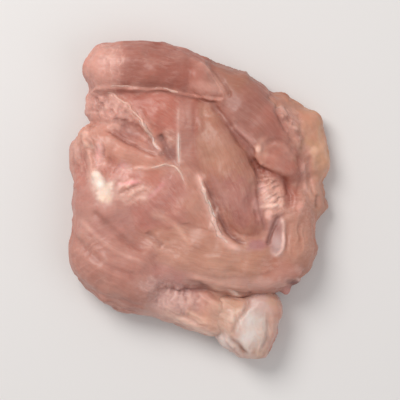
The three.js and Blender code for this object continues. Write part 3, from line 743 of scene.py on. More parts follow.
BLOBS = [
    # top muscle
    Blob(209, 219, 10.5, 15, 8, (220, 161, 147), 0.85, edge=0.95, noise=0.3, film=0.3),
    Blob(216, 214, 6, 5, 20, (216, 160, 146), 0.5, edge=0.9, noise=0.4, film=0.6),
    # painted highlights on the film of the top muscle's left end: a small bright spot and a streak
    Blob(214.5, 213, 3.5, 2.0, -15, (230, 180, 166), 0.5, edge=0.9, noise=0.4, film=0.5),
    Blob(218, 220, 2.0, 5.0, 12, (224, 172, 160), 0.5, edge=0.9, noise=0.4, film=0.5),
    Blob(225, 221, 6, 7, 0, (186, 122, 108), 0.45, edge=0.9, noise=0.4, film=0.3),
    Blob(238, 215, 13, 8, -8, (160, 97, 84), 0.55, edge=0.7),
    Blob(248, 223, 10, 6, -20, (172, 98, 82), 0.5, edge=0.7),
    Blob(236, 224, 6, 3.5, 0, (178, 106, 89), 0.4, edge=0.7),
    # the pale wedge at the top muscle's right end: partly its own paler colour, partly a painted highlight
    Blob(257, 229, 7.5, 3.6, -12, (216, 155, 141), 0.7, noise=0.25, film=0.2),
    Blob(264.5, 229, 3.2, 5, -40, (218, 160, 146), 0.65, noise=0.2, film=0.2),
    # frayed hollow
    Blob(213, 237, 12, 8, -20, (202, 142, 130), 0.6, edge=0.6, noise=0.4, film=0.45),
    Blob(227, 251, 11, 5.0, -27, (164, 111, 103), 0.85, edge=0.5, noise=0.3),
    Blob(243.6, 258.4, 2.8, 6.0, 18, (148, 103, 98), 0.7, edge=0.8, noise=0.25),
    # red wedge, grey band
    Blob(239, 240, 8, 8, -35, (188, 106, 89), 0.6, edge=0.6),
    Blob(241.5, 237.5, 4.5, 4.5, 0, (182, 96, 75), 0.45, edge=0.8),
    Blob(243.5, 251.5, 3.2, 3.4, 0, (216, 166, 150), 0.6, film=0.8),
    Blob(250.5, 247, 4, 15, 0, (178, 124, 111), 0.55, edge=0.7, film=0.1),
    Blob(255, 241, 1.8, 8, 0, (176, 100, 84), 0.5),
    # long muscle: tan over the middle, mauve below
    Blob(262, 250, 5.5, 14, 5, (182, 130, 107), 0.6, edge=0.7),
    Blob(269, 262, 7, 12, 25, (190, 138, 114), 0.45),
    Blob(276, 282, 6.5, 12, 22, (176, 112, 104), 0.7),
    Blob(266, 276, 3.5, 8, 25, (184, 130, 124), 0.5),
    Blob(283, 294, 5, 6, 0, (188, 124, 104), 0.5),
    Blob(258.5, 258, 3, 9, 0, (190, 142, 122), 0.4),
    # upper right muscle
    Blob(270, 222, 9, 6, 30, (160, 106, 87), 0.65, edge=0.7),
    Blob(273, 223.5, 3, 2, 0, (170, 102, 76), 0.4, edge=0.9),
    Blob(275, 228, 4, 4, 0, (160, 110, 88), 0.4, edge=0.9),
    # painted shade: a darker patch that dims the key lamp's highlight on this muscle's upper-left flank
    Blob(272.6, 235.6, 5.0, 4.0, -30, (148, 92, 76), 0.45, edge=0.9, noise=0.2),
    Blob(280, 238, 11, 8, 40, (158, 101, 89), 0.6, edge=0.7),
    Blob(292, 245, 5, 8, 25, (178, 110, 97), 0.45),
    # faint painted highlight
    Blob(284.5, 243, 3.4, 2.6, -40, (184, 126, 112), 0.3, edge=0.8),
    Blob(278, 250.5, 6, 3, -38, (196, 142, 132), 0.5),
    Blob(295, 262, 7, 6.5, 0, (186, 118, 102), 0.5),
    Blob(300, 278, 4.2, 7, 12, (168, 92, 76), 0.75, noise=0.25),
    # fat
    Blob(311, 249, 8, 11.5, 10, (214, 167, 136), 0.65, edge=0.9, noise=0.6),
    Blob(296.5, 232, 5, 4, 0, (188, 130, 104), 0.6),
    Blob(301.5, 243, 3.4, 7, 28, (212, 158, 140), 0.5, film=0.6),
    Blob(307, 262, 3.2, 8, 0, (202, 144, 130), 0.6, noise=0.3, film=0.3),
    Blob(315.5, 255, 3.6, 13, 8, (229, 175, 142), 0.7, edge=0.7, noise=0.3),
    # painted highlight on the fat
    Blob(311, 257, 2.0, 2.6, 20, (226, 178, 152), 0.6, noise=0.4),
    Blob(311, 272, 4, 8, 0, (196, 142, 122), 0.5),
    Blob(306.5, 284, 6, 6, 0, (206, 148, 130), 0.4, film=0.4),
    Blob(304, 297, 7, 11, 8, (200, 143, 121), 0.55, edge=0.6),
    # zigzag patch and wet pad of membrane
    Blob(290, 276, 5, 9, -22, (210, 156, 139), 0.7, edge=0.5, noise=0.35, film=0.45),
    Blob(291.5, 281, 3.6, 4.5, 0, (228, 178, 162), 0.6, edge=0.7, noise=0.4, film=0.5),
    Blob(284.5, 283, 2.4, 7, 10, (198, 134, 126), 0.5, noise=0.5),
    Blob(292, 294, 2.6, 5.5, 22, (178, 132, 128), 0.6, noise=0.15),
    Blob(293, 302, 2.4, 3.8, 0, (208, 182, 176), 0.7, noise=0.15),
    # left and middle
    Blob(224, 257, 15, 6.5, 22, (210, 147, 129), 0.6, edge=0.6, film=0.2),
    Blob(211, 250, 7, 6, -10, (206, 147, 130), 0.55, edge=0.7, film=0.35),
    Blob(206, 254, 6, 6, 0, (202, 146, 130), 0.55, edge=0.8, film=0.35),
    Blob(201, 266, 3.2, 8, 4, (188, 116, 102), 0.6),
    Blob(210.5, 259, 2.4, 6, 0, (236, 186, 178), 0.55, film=0.9),
    Blob(215.5, 266, 3.6, 5, 0, (194, 126, 112), 0.55),
    Blob(221.5, 266, 3.8, 4.4, 0, (228, 168, 158), 0.55, film=0.7),
    Blob(227.5, 276.5, 7.5, 4.6, 5, (232, 184, 168), 0.75, edge=0.6, noise=0.5, film=0.7),
    Blob(235, 270, 6, 4.4, -15, (196, 124, 104), 0.5),
    Blob(245.5, 274, 6, 8, 20, (190, 126, 116), 0.6),
    Blob(245, 286, 7, 5, -25, (196, 136, 120), 0.4),
    Blob(257, 287, 5, 9, 22, (200, 142, 122), 0.45),
    # lower flap
    Blob(248, 303, 13, 8, -20, (201, 146, 126), 0.45),
    Blob(268, 308, 13, 6, 0, (202, 151, 128), 0.5, edge=0.7),
    Blob(282, 309, 10, 7, 0, (190, 134, 108), 0.45),
    Blob(293, 313, 8, 5, -10, (181, 108, 86), 0.55),
    # shank
    Blob(243, 325, 12, 7, -18, (196, 155, 148), 0.65, noise=0.5, film=0.6),
    Blob(258, 331, 7, 6, -20, (216, 162, 144), 0.6, edge=0.6),
    Blob(262, 337, 5, 4, -25, (226, 172, 144), 0.6, edge=0.6),
    Blob(250, 338, 13, 3, -22, (216, 176, 162), 0.55, film=0.4),
    Blob(270, 333, 7.5, 9, 0, (212, 166, 146), 0.7, edge=0.8, noise=0.5, film=0.1),
    Blob(242, 314.4, 10, 3.0, -12, (184, 128, 121), 0.55, edge=0.6),
    # painted shade on the shank under the lip
    Blob(252, 322.4, 13, 2.8, -12, (170, 118, 112), 0.55, edge=0.7),
    Blob(259.6, 327.6, 4.0, 5.0, 0, (202, 146, 133), 0.5, edge=0.8),
    Blob(265.0, 332, 4.4, 11, 10, (210, 162, 143), 0.75, edge=0.8, noise=0.5),
    Blob(284.5, 301.4, 4.8, 2.4, 12, (176, 118, 124), 0.7, edge=0.6),
    Blob(267.6, 332.5, 4.0, 10, 0, (221, 181, 160), 0.6, edge=0.95, noise=0.5),
]

# White spots and edges, laid on last: white tissue in its own colour, and painted highlights where marked.
WHITES_AND_GLINTS = [
    Blob(209.8, 270.8, 2.4, 3.6, 20, (255, 238, 224), 0.85, edge=0.7, noise=0.4, zmin=15),
    Blob(213.2, 276.0, 3.2, 4.4, -32, (255, 236, 218), 0.8, edge=0.7, noise=0.45, zmin=15),
    Blob(210.8, 273.4, 1.4, 1.4, 0, (255, 252, 244), 0.8, edge=0.7, noise=0.3, zmin=15),
    Blob(213.4, 279.6, 3.0, 1.8, 0, (250, 222, 196), 0.6, edge=0.6, noise=0.3, zmin=15),
    Blob(203.6, 249.4, 1.4, 1.2, 0, (244, 198, 182), 0.75, edge=0.6),
    Blob(203.6, 254.0, 1.5, 1.2, 0, (244, 200, 184), 0.75, edge=0.6),
    Blob(206.4, 255.4, 1.4, 0.9, -20, (246, 206, 190), 0.75, edge=0.6),
    Blob(210.0, 258.6, 1.5, 3.6, 0, (246, 184, 178), 0.7, edge=0.7),
    Blob(225.8, 272.2, 3.6, 1.0, 4, (250, 172, 172), 0.85, edge=0.6, noise=0.2),
    Blob(220.8, 273.0, 2.2, 1.0, -10, (248, 190, 184), 0.7, edge=0.6),
    Blob(236.6, 276.6, 5.2, 0.9, 45, (216, 146, 144), 0.65, edge=0.6),
    Blob(220.8, 264.6, 2.2, 1.6, 0, (238, 178, 176), 0.6, edge=0.7),
    # painted highlights: white glints on the zigzag ridges
    Blob(289.0, 279.6, 2.0, 1.4, 20, (255, 214, 200), 0.85, edge=0.6),
    Blob(290.4, 283.0, 3.4, 0.9, 2, (255, 212, 196), 0.85, edge=0.6),
    Blob(295.0, 281.0, 1.1, 2.4, 0, (252, 200, 182), 0.75, edge=0.6),
    Blob(289.2, 287.0, 1.5, 2.2, 0, (250, 200, 186), 0.75, edge=0.6),
    Blob(286.6, 274.6, 1.4, 2.2, 30, (240, 190, 182), 0.7, edge=0.7),
    Blob(294.6, 276.6, 1.6, 2.8, 10, (240, 178, 158), 0.6, edge=0.7),
    Blob(284.4, 257.0, 1.3, 1.5, 0, (246, 200, 182), 0.85, edge=0.6),
    # painted highlights: light streaks on the strip beside the low fat, and a spot on the fat
    Blob(306.6, 275.0, 1.1, 2.4, 0, (230, 176, 160), 0.7, edge=0.6),
    Blob(303.8, 283.2, 1.2, 2.4, -25, (236, 174, 158), 0.7, edge=0.6),
    Blob(311.4, 256.4, 1.8, 1.4, 0, (238, 194, 166), 0.6, edge=0.7),
    Blob(293.0, 297.2, 3.2, 9.0, -11, (186, 138, 131), 0.9, edge=0.3, noise=0.15),
    # painted glossy highlight on the wet pad
    Blob(293.0, 300.4, 2.0, 4.2, -8, (210, 180, 176), 0.7, edge=0.7, noise=0.3),
    Blob(293.6, 292.2, 1.3, 3.8, -14, (160, 110, 104), 0.7, edge=0.8),
    Blob(291.2, 294.8, 1.1, 6.4, -20, (128, 80, 72), 0.8, edge=0.8, noise=0.25),
    Blob(263.6, 288.6, 0.9, 4.6, -22, (248, 214, 202), 0.6, edge=0.6, noise=0.2),
    Blob(259.6, 343.0, 6.0, 1.1, -28, (240, 210, 192), 0.6, edge=0.6),
    # painted highlight on the dangling bit's rim
    Blob(303.6, 317.6, 1.4, 0.9, -30, (236, 206, 198), 0.7, edge=0.6),
    Blob(300.0, 318.8, 2.8, 1.4, -8, (112, 72, 70), 0.6, edge=0.6),
    Blob(273.2, 324.4, 3.0, 0.9, -34, (240, 218, 206), 0.75, edge=0.7, noise=0.3, zmin=4),
]


# The wet pad's rim, drawn over its colours.
RIMS = [
    Stroke("ridge", [(294.8, 287.6), (296.0, 290.6), (296.3, 295.6), (296.2, 300.4), (295.2, 304.0), (293.0, 306.0), (290.8, 304.8), (289.8, 301.8)],
           0.8, 0.35, tint=(240, 202, 190), strength=0.75, spread=0.75, ends=(0.12, 0.25), rough=0.9),
    Stroke("groove", [(297.8, 291), (298.2, 296.4), (297.8, 302), (295.8, 306.6), (292, 308)], 0.8, 0.25, tint=(176, 118, 98), strength=0.35, spread=1.0, rough=0.8, ends=(0.3, 0.4)),
]


# Torn and stringy patches, each with the way its strands run (degrees, counter-clockwise).
FRAYS = [
    # under the top muscle: beads with strands through them
    Fray(213.5, 238, 11.5, 7.5, -20, 0, (220, 166, 152), (150, 96, 88), amp=0.42, strength=0.65, size=(1.9, 1.9), beads=True),
    Fray(215, 236, 12, 8, -20, -32, (224, 170, 156), (176, 118, 108), amp=0.2, strength=0.4, size=(6.0, 2.0)),
    Fray(223, 241.5, 9, 5, -35, 0, (222, 168, 154), (160, 106, 97), amp=0.26, strength=0.5, size=(2.0, 1.8), beads=True),
    # the top muscle's pale end
    Fray(217.5, 217, 5.5, 11, 0, 78, (238, 190, 176), (190, 128, 116), amp=0.12, strength=0.55, size=(4.5, 1.9), wander=1.6),
    # frayed left side
    Fray(203, 258, 8, 14, 0, 101, (212, 160, 144), (150, 92, 80), amp=0.5, strength=0.65, size=(9.0, 2.1), wander=1.2),
    Fray(212, 260, 5, 8, 0, 97, (232, 180, 168), (172, 106, 94), amp=0.3, strength=0.6, size=(8.0, 2.3)),
    Fray(204.5, 252.5, 4.5, 5, 0, 0, (226, 174, 157), (186, 128, 112), amp=0.3, strength=0.5, size=(2.6, 2.6), beads=True),
    # hollow beside the pale ridge, and the short fibres at its end
    Fray(227, 251, 11, 4.5, -27, -22, (190, 138, 127), (148, 96, 88), amp=0.2, strength=0.45, size=(5.0, 2.0)),
    Fray(243.6, 251.5, 3.4, 3.6, 0, 90, (230, 184, 170), (172, 114, 102), amp=0.14, strength=0.75, size=(7.0, 1.5), wander=0.3),
    # cream patch below the left band
    Fray(227, 276, 8.5, 5.5, 0, 27, (244, 202, 184), (192, 130, 114), amp=0.24, strength=0.65, size=(2.4, 1.7), beads=True),
    Fray(219, 268, 6.0, 5.0, 0, 60, (238, 184, 174), (180, 114, 102), amp=0.22, strength=0.5, size=(4.0, 2.1)),
    # the bumpy strip beside the fat
    Fray(298.4, 245, 10.8, 2.7, -61, -61, (242, 192, 174), (176, 114, 100), amp=0.5, strength=0.75, size=(2.2, 1.7), wander=0.6, beads=True),
    # torn patch between the long and the round muscle
    Fray(290.2, 277.4, 12.5, 5.4, -70, 24, (236, 186, 168), (162, 102, 88), amp=0.6, strength=0.75, size=(4.6, 1.8), wander=1.2),
    Fray(289.6, 276.0, 12, 5.0, -70, -64, (228, 176, 160), (172, 110, 96), amp=0.3, strength=0.45, size=(7.0, 1.9)),
    Fray(284.4, 283.5, 2.6, 7.5, 0, 85, (218, 162, 154), (158, 96, 90), amp=0.2, strength=0.6, size=(2.3, 1.7), beads=True),
    # red hollow, the strip beside the low fat, and the flap below them
    Fray(300, 278, 3.6, 7.5, 0, 84, (186, 116, 98), (134, 68, 54), amp=0.25, strength=0.5, size=(6.5, 2.0)),
    Fray(308, 270, 4.0, 12, 0, 88, (220, 170, 156), (178, 122, 108), amp=0.25, strength=0.5, size=(9.0, 2.1)),
    Fray(301.5, 297, 5.0, 10, 0, 82, (212, 160, 140), (168, 108, 88), amp=0.2, strength=0.45, size=(9.0, 2.2)),
    # the shank: wavy cross strands, long ones down its lower edge
    Fray(246.5, 326, 12, 7.2, -18, 80, (222, 182, 173), (154, 108, 105), amp=0.38, strength=0.72, size=(4.2, 1.9), wander=1.8),
    Fray(254, 338, 14, 4.2, -24, -27, (240, 204, 186), (194, 138, 116), amp=0.28, strength=0.6, size=(9.0, 1.9)),
    Fray(262, 331, 7, 8, 0, -32, (228, 172, 152), (186, 120, 102), amp=0.15, strength=0.4, size=(8.0, 2.2)),
    # the side that nothing shows
    Fray(206, 306, 12, 16, 20, 35, (214, 164, 150), (168, 112, 100), amp=0.12, strength=0.3, size=(10.0, 2.6)),
]


def fibre_map(v, lobes, warp):
    """Owner of each point, blended base colour, and coordinates along the fibres."""
    x, y, z = warped(v[:, 0], v[:, 1], v[:, 2], warp)
    x, y, z = (np.asarray(q, np.float32) for q in (x, y, z))
    solid = [lb for lb in lobes if not lb.cut]
    dist = np.stack([lb.dist(x, y, z) for lb in solid], 0)
    own = dist.argmin(0)
    q = np.asarray(v, np.float32)
    stray = [fbm(n, q / 3.1 + k, 3) for n, k in ((N1, 1.5), (N2, 6.1), (N4, 9.2))]
    for i in range(len(dist)):
        dist[i] += 0.9 * stray[i % 3] * (1 if i % 2 else -1)
    w = np.exp(-(dist - dist.min(0)) / 0.8)
    w /= w.sum(0)
    col = np.einsum("ln,lc->nc", w, np.stack([lb.col for lb in solid]))
    musc = np.einsum("ln,l->n", w, np.array([lb.fibre for lb in solid]))
    fib = np.zeros((len(v), 3))
    for i, lb in enumerate(solid):
        m = own == i
        if m.any():
            lx, ly, lz, _ = lb.local(x[m], y[m], z[m])
            fib[m] = np.stack([lx, ly, lz], -1) + i * 13.7
    return own, col, musc, fib, solid


BOX_LO = np.array(CAD_BOX[0]) / MM - SHIFT      # the CAD's box, in the plan's millimetres
BOX_HI = np.array(CAD_BOX[1]) / MM - SHIFT


def keep_in(v, room=1.2):
    """Ease every point that would leave the CAD's box back inside it."""
    v = v.copy()
    for ax in range(3):
        hi = BOX_HI[ax] - room
        over = v[:, ax] - hi
        v[:, ax] = np.where(over > 0, hi + 0.95 * room * np.tanh(over / room), v[:, ax])
        if ax < 2:
            lo = BOX_LO[ax] + room
            over = lo - v[:, ax]
            v[:, ax] = np.where(over > 0, lo - 0.95 * room * np.tanh(over / room), v[:, ax])
    return v


def thin_seat(v, f, lo, h, block=5):
    """The flat seat needs few faces: merge its points in square blocks."""
    ij = np.floor((v[:, :2] - lo[:2]) / h + 1e-3).astype(int)
    flat = v[:, 2] < 0.02
    key = (ij[:, 0] // block) * 100003 + ij[:, 1] // block
    keys, inv, cnt = np.unique(key[flat], return_inverse=True, return_counts=True)
    full = cnt == block * block
    target = np.arange(len(v))
    who = np.nonzero(flat)[0]
    order = np.argsort(inv, kind="stable")
    start = np.concatenate([[0], np.cumsum(cnt)])
    for b in np.nonzero(full)[0]:
        m = who[order[start[b]:start[b + 1]]]
        c = v[m].mean(0)
        t = m[((v[m] - c) ** 2).sum(1).argmin()]
        target[m] = t
        v[t] = c
    g = target[f]
    same = [g[:, i] == g[:, (i + 1) % 4] for i in range(4)]
    n_same = sum(s.astype(int) for s in same) + (g[:, 0] == g[:, 2]) + (g[:, 1] == g[:, 3])
    used = np.unique(g[n_same < 3])
    new = np.full(len(v), -1); new[used] = np.arange(len(used))
    faces = []
    for row, k in zip(g.tolist(), n_same.tolist()):
        if k == 0:
            faces.append(row)
            continue
        r = []
        for q in row:
            if q not in r:
                r.append(q)
        if len(r) >= 3:
            faces.append(r)
    faces = [[int(new[q]) for q in r] for r in faces]
    return used, faces


def lighten(ob, weight, most=194000):
    """Bring a piece under a number of triangles, taking them first where weight is high."""
    tris = sum(len(p.vertices) - 2 for p in ob.data.polygons)
    if tris <= most:
        return
    group = ob.vertex_groups.new(name="spare")
    level = np.clip(np.round(weight * 20), 1, 20).astype(int)
    for k in range(1, 21):
        who = np.nonzero(level == k)[0]
        if len(who):
            group.add(who.tolist(), k / 20.0, "REPLACE")
    mod = ob.modifiers.new("lighten", "DECIMATE")
    mod.ratio = most / tris
    mod.vertex_group = "spare"
    mod.vertex_group_factor = 3.0
    dg = bpy.context.evaluated_depsgraph_get()
    me = bpy.data.meshes.new_from_object(ob.evaluated_get(dg), preserve_all_data_layers=True, depsgraph=dg)
    ob.modifiers.clear()
    ob.vertex_groups.clear()
    old, name = ob.data, ob.data.name
    ob.data = me
    bpy.data.meshes.remove(old)
    me.name = name


def build_flesh():
    h = 0.44
    warp = 0.9
    vol = volume(FLESH, (-56, -58, -2), (57, 67, 31), h, warp, seat=1.6)
    v, f = surface(*vol)
    v = relax(v, f, 1, 0.4)
    n = normals(v, f)
    own, col, musc, fib, solid = fibre_map(v, FLESH, warp)
    film = 0.42 * smooth(0.05, 0.75, fbm(N4, v / 8.0 + 2.2, 3)) * np.clip(musc, 0.3, 1)
    film = film * (1 - 0.8 * region(v, 281, 238, 21, 9, -45, 0.5))
    net = 0.7 * region(v, 214, 238, 12, 7.5, -22, 0.6) * smooth(6, 9, v[:, 2])
    net = np.maximum(net, 0.5 * region(v, 204, 260, 9, 12, 0, 0.6) * smooth(4, 8, v[:, 2]))
    net = np.maximum(net, 0.5 * region(v, 290, 277, 11, 5, -70, 0.5) * smooth(6, 9, v[:, 2]))
    # closeness of the folds: how much open space is above a point, which sets the painted shade further down
    open_ = np.clip(sample(*vol, v + n * 2.4) / 2.4, 0, 1)
    apply_blobs(v, BLOBS, col, film)
    disp = apply_frays(v, FRAYS, col)
    disp += apply_strokes(v, n, STROKES, col, film)
    apply_blobs(v, WHITES_AND_GLINTS, col, film)
    disp += apply_strokes(v, n, RIMS, col, film, seed=20.0)
    # unevenness at three sizes, and muscle fibres
    low = fbm(N1, v / 13.0, 2)
    mid = fbm(N2, v / 4.2, 2)
    finer = N3(v / 1.7)
    fz = N4(fib * np.array([0.07, 0.85, 0.85]))
    top = smooth(0.5, 3.0, v[:, 2])
    calm = 1 - 0.6 * region(v, 281, 238, 21, 9, -45, 0.5)      # the upper right muscle is the smoothest
    disp += top * calm * (0.48 * low + 0.20 * mid) + 0.06 * top * finer
    bundles = N1(fib * np.array([0.035, 0.36, 0.36]) + 3.0)
    disp += top * musc * (0.17 * bundles + 0.05 * fz)
    wall = (1 - smooth(0.25, 0.75, np.abs(n[:, 2]))) * smooth(1.0, 4.0, v[:, 2])
    fold = 1 - np.abs(fbm(N3, v * np.array([0.075, 0.075, 0.20]) + 4.0, 2))
    disp += wall * (0.75 * (fold ** 3 - 0.45) + 0.22 * fbm(N2, v * np.array([0.3, 0.3, 0.7]), 2))
    mott = fbm(N1, v / 9.0 + 3.0, 3)[:, None]
    col = col * (1 + (0.05 + 0.08 * wall[:, None]) * mott * np.array([1.0, 1.5, 1.5]))
    film = np.clip(film + 0.35 * wall * smooth(0.0, 0.6, fbm(N2, v / 6.0 + 8.0, 3)), 0, 1)
    # fat lies in soft grains with paler, yellower and pinker places
    fat = smooth(0.35, 0.05, musc) * smooth(1.5, 4.0, v[:, 2]) * region(v, 311, 260, 26, 46, 10, 0.3)
    grain = N2(v / 2.6 + 4.0) + 0.6 * N4(v / 1.3 + 2.0)
    disp += fat * 0.14 * grain
    tone = fbm(N3, v / 4.2 + 1.0, 3)[:, None]
    col = col * (1 + 0.10 * fat[:, None] * tone * np.array([0.6, 1.0, 1.5]))
    pink = (0.35 * fat * smooth(0.15, 0.7, fbm(N1, v / 6.5 + 7.0, 3)))[:, None]
    col = col * (1 - pink) + lin((206, 140, 122)) * pink
    lump = region(v, 212.4, 275, 4.5, 8, -25, 0.4) * smooth(16, 20, v[:, 2])
    disp += lump * 0.35 * N3(v / 2.2)
    for u, w, ru, rv, ang, amp in RELIEF:
        disp += amp * region(v, u, w, ru, rv, ang, 0.7) * smooth(0.1, 0.5, n[:, 2])
    v = keep_in(v + n * disp[:, None])
    v[:, 2] = np.maximum(v[:, 2], 0.0)
    n = normals(v, f)
    # painted shade: points with little open space above them, in folds and hollows, are painted darker and redder
    shade = (1 - smooth(0.15, 0.95, open_))[:, None] * 0.42
    col = col * (1 - shade) + col * np.array([0.60, 0.42, 0.40]) * shade
    # the underside is paler and flatter in colour
    under = (1 - smooth(-0.8, -0.2, n[:, 2]))[:, None] * 0.4
    col = col * (1 - under) + lin((196, 146, 132)) * under
    col = col * np.array([0.965, 0.915, 0.905])
    skin = (v.copy(), f)
    used, faces = thin_seat(v, f, vol[1], h)
    ob = make_mesh("flesh_surface", v[used], faces, {
        "tint": ("FLOAT_COLOR", col[used]), "fib": ("FLOAT_VECTOR", fib[used]), "film": ("FLOAT", film[used]),
        "net": ("FLOAT", net[used]), "muscle": ("FLOAT", musc[used])})
    ob.data.materials.append(meat_material("raw_flesh"))
    side = 1 - smooth(0.3, 0.8, n[used][:, 2]) * smooth(3.0, 8.0, v[used][:, 2])
    lighten(ob, 0.12 + 0.88 * side)
    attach(ob, "root")
    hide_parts("thigh_flesh")
    tris = sum(len(p.vertices) - 2 for p in ob.data.polygons)
    print("flesh", len(ob.data.vertices), "points", tris, "triangles", round(time.time() - T0, 1), "s")
    return ob, skin


# ---- the joint end ------------------------------------------------------------------
YAW = -19.4
END = np.array([24.0, -49.6, 9.2])


def along(s, side, z=0.0):
    a = math.radians(YAW)
    return (END[0] + s * math.cos(a) - side * math.sin(a), END[1] + s * math.sin(a) + side * math.cos(a), END[2] + z)


BONE = [
    Lobe("shaft", along(-33, 0), (34, 4.9, 4.9), YAW, k=2, col=(226, 206, 190), fibre=0.0),
    Lobe("neck", along(-9, 0, 0.2), (13.5, 9.2, 8.8), YAW, k=3, col=(212, 170, 152), fibre=0.5),
    Lobe("web", along(-2.0, 0), (8.8, 9.6, 9.0), YAW, k=2, col=(206, 172, 156), fibre=0.2),
    Lobe("head_low", along(-0.8, -6.8, -0.2), (9.3, 8.3, 9.2), YAW - 20, k=3, col=(214, 178, 164), fibre=0.2),
    Lobe("head_high", along(-0.3, 6.4, 0.2), (8.6, 8.6, 9.0), YAW + 14, k=2.5, col=(204, 160, 148), fibre=0.2),
    Lobe("head_mid", along(1.4, -1.4, -0.4), (7.4, 7.6, 8.4), YAW, k=3, col=(206, 162, 146), fibre=0.2),
    Lobe("cap", along(-4.4, -2.6, 4.4), (8.2, 9.4, 4.7), YAW + 12, k=1.8, col=(219, 204, 195), fibre=0.0),
    Lobe("tendon", along(-12.5, 1.0, 3.0), (9.0, 6.6, 5.2), YAW + 6, k=2.0, col=(216, 172, 150), fibre=1.0),
    Lobe("foot_lobe", along(-8.9, -9.0, -1.5), (6.8, 4.2, 4.8), YAW - 22, k=1.8, col=(226, 206, 197), fibre=0.0),
]
BONE_STROKES = [
    Stroke("groove", [(270.4, 342.6), (272.2, 346), (275.0, 347.8), (277.4, 350.8), (281.6, 353.8)], 1.1, 0.55, tint=(142, 102, 88), strength=0.85, spread=1.0, up=-0.2, zmin=2, rough=0.6, ends=(0.3, 0.35)),
    Stroke("groove", [(279, 326), (279.4, 329), (277.8, 333), (275, 337), (272.8, 341), (271.8, 344)], 0.9, 0.6, tint=(172, 128, 112), strength=0.5, spread=1.0),
    Stroke("ridge", [(289.8, 331), (291.4, 338), (290.9, 346), (288, 352)], 1.2, 0.35, tint=(206, 168, 154), strength=0.4, spread=1.2),
    Stroke("groove", [(288.4, 332), (289.2, 339), (288.6, 346), (286.4, 351)], 0.9, 0.4, tint=(182, 140, 126), strength=0.45, spread=1.1),
    Stroke("ridge", [(272, 331), (272.4, 334.5), (271.6, 338)], 1.1, 0.4, tint=(232, 200, 184), strength=0.5, spread=1.1),
    Stroke("ridge", [(266.4, 344.4), (269.6, 347.4), (273.4, 350.6)], 1.0, 0.4, tint=(236, 216, 206), strength=0.6, spread=1.2, zmin=2),
]
BONE_BLOBS = [
    Blob(281, 342.5, 9.4, 10.5, 10, (216, 203, 197), 0.85, edge=0.4, noise=0.22, zmin=11.5),
    Blob(281, 344, 14, 14, 0, (222, 196, 184), 0.45, edge=0.5, noise=0.6, zmax=11.5),
    Blob(277.5, 341, 4.4, 6.5, -15, (228, 218, 214), 0.65, edge=0.6),
    Blob(294.0, 342, 1.7, 13, 6, (170, 114, 98), 0.6, edge=0.8, noise=0.3, zmin=3),
    Blob(289.6, 351.6, 3.0, 3.0, 0, (190, 130, 110), 0.5, edge=0.8),
    Blob(282, 346, 4.0, 5.5, -15, (220, 206, 200), 0.4, edge=0.5),
    Blob(287.5, 343, 3.0, 9, -6, (204, 172, 157), 0.5, edge=0.5),
    Blob(292.6, 339, 3.2, 14, 0, (214, 160, 140), 0.7, edge=0.6),
    Blob(284.5, 329, 6.5, 4.5, -10, (204, 172, 164), 0.65, edge=0.5),
    Blob(293, 326, 4.5, 5, 0, (204, 162, 138), 0.6),
    Blob(269.5, 333, 7, 9, 0, (219, 184, 166), 0.7, film=0.25),
    Blob(264.5, 334, 8.0, 15, 12, (207, 158, 139), 1.0, edge=0.7, noise=0.5),
    Blob(274.6, 328.4, 3.6, 3.4, 0, (224, 172, 140), 0.5, edge=0.7),
    Blob(287, 353, 5, 3.5, 0, (200, 160, 140), 0.6),
    Blob(269.5, 347.5, 5.5, 4.4, -30, (232, 216, 209), 0.8, edge=0.5),
    Blob(268.6, 346.4, 3.4, 2.2, -35, (246, 234, 228), 0.7, edge=0.6),
    Blob(276.0, 350.4, 4.5, 2.2, -42, (214, 190, 180), 0.6, edge=0.7),
    Blob(273.2, 324.4, 3.0, 0.9, -34, (240, 218, 206), 0.75, edge=0.7, noise=0.3, zmin=4),
    Blob(267.4, 332, 4.4, 11, 8, (212, 167, 147), 0.7, edge=0.9, noise=0.5),
]
BONE_FRAYS = [
    Fray(274, 333, 6.0, 9, 0, -58, (232, 200, 182), (196, 148, 127), amp=0.24, strength=0.55, size=(7.0, 2.4), wander=1.4, edge=0.85),
    Fray(287.8, 343, 5, 11, 0, -80, (228, 190, 172), (178, 130, 114), amp=0.14, strength=0.5, size=(6.0, 2.0)),
    Fray(283, 351, 7, 4.5, 0, 66, (234, 198, 178), (190, 142, 120), amp=0.12, strength=0.55, size=(4.0, 1.9)),
    Fray(281, 341, 8, 10, 0, 76, (228, 216, 210), (206, 188, 180), amp=0.05, strength=0.4, size=(6.0, 2.4), zmin=8.0),
]


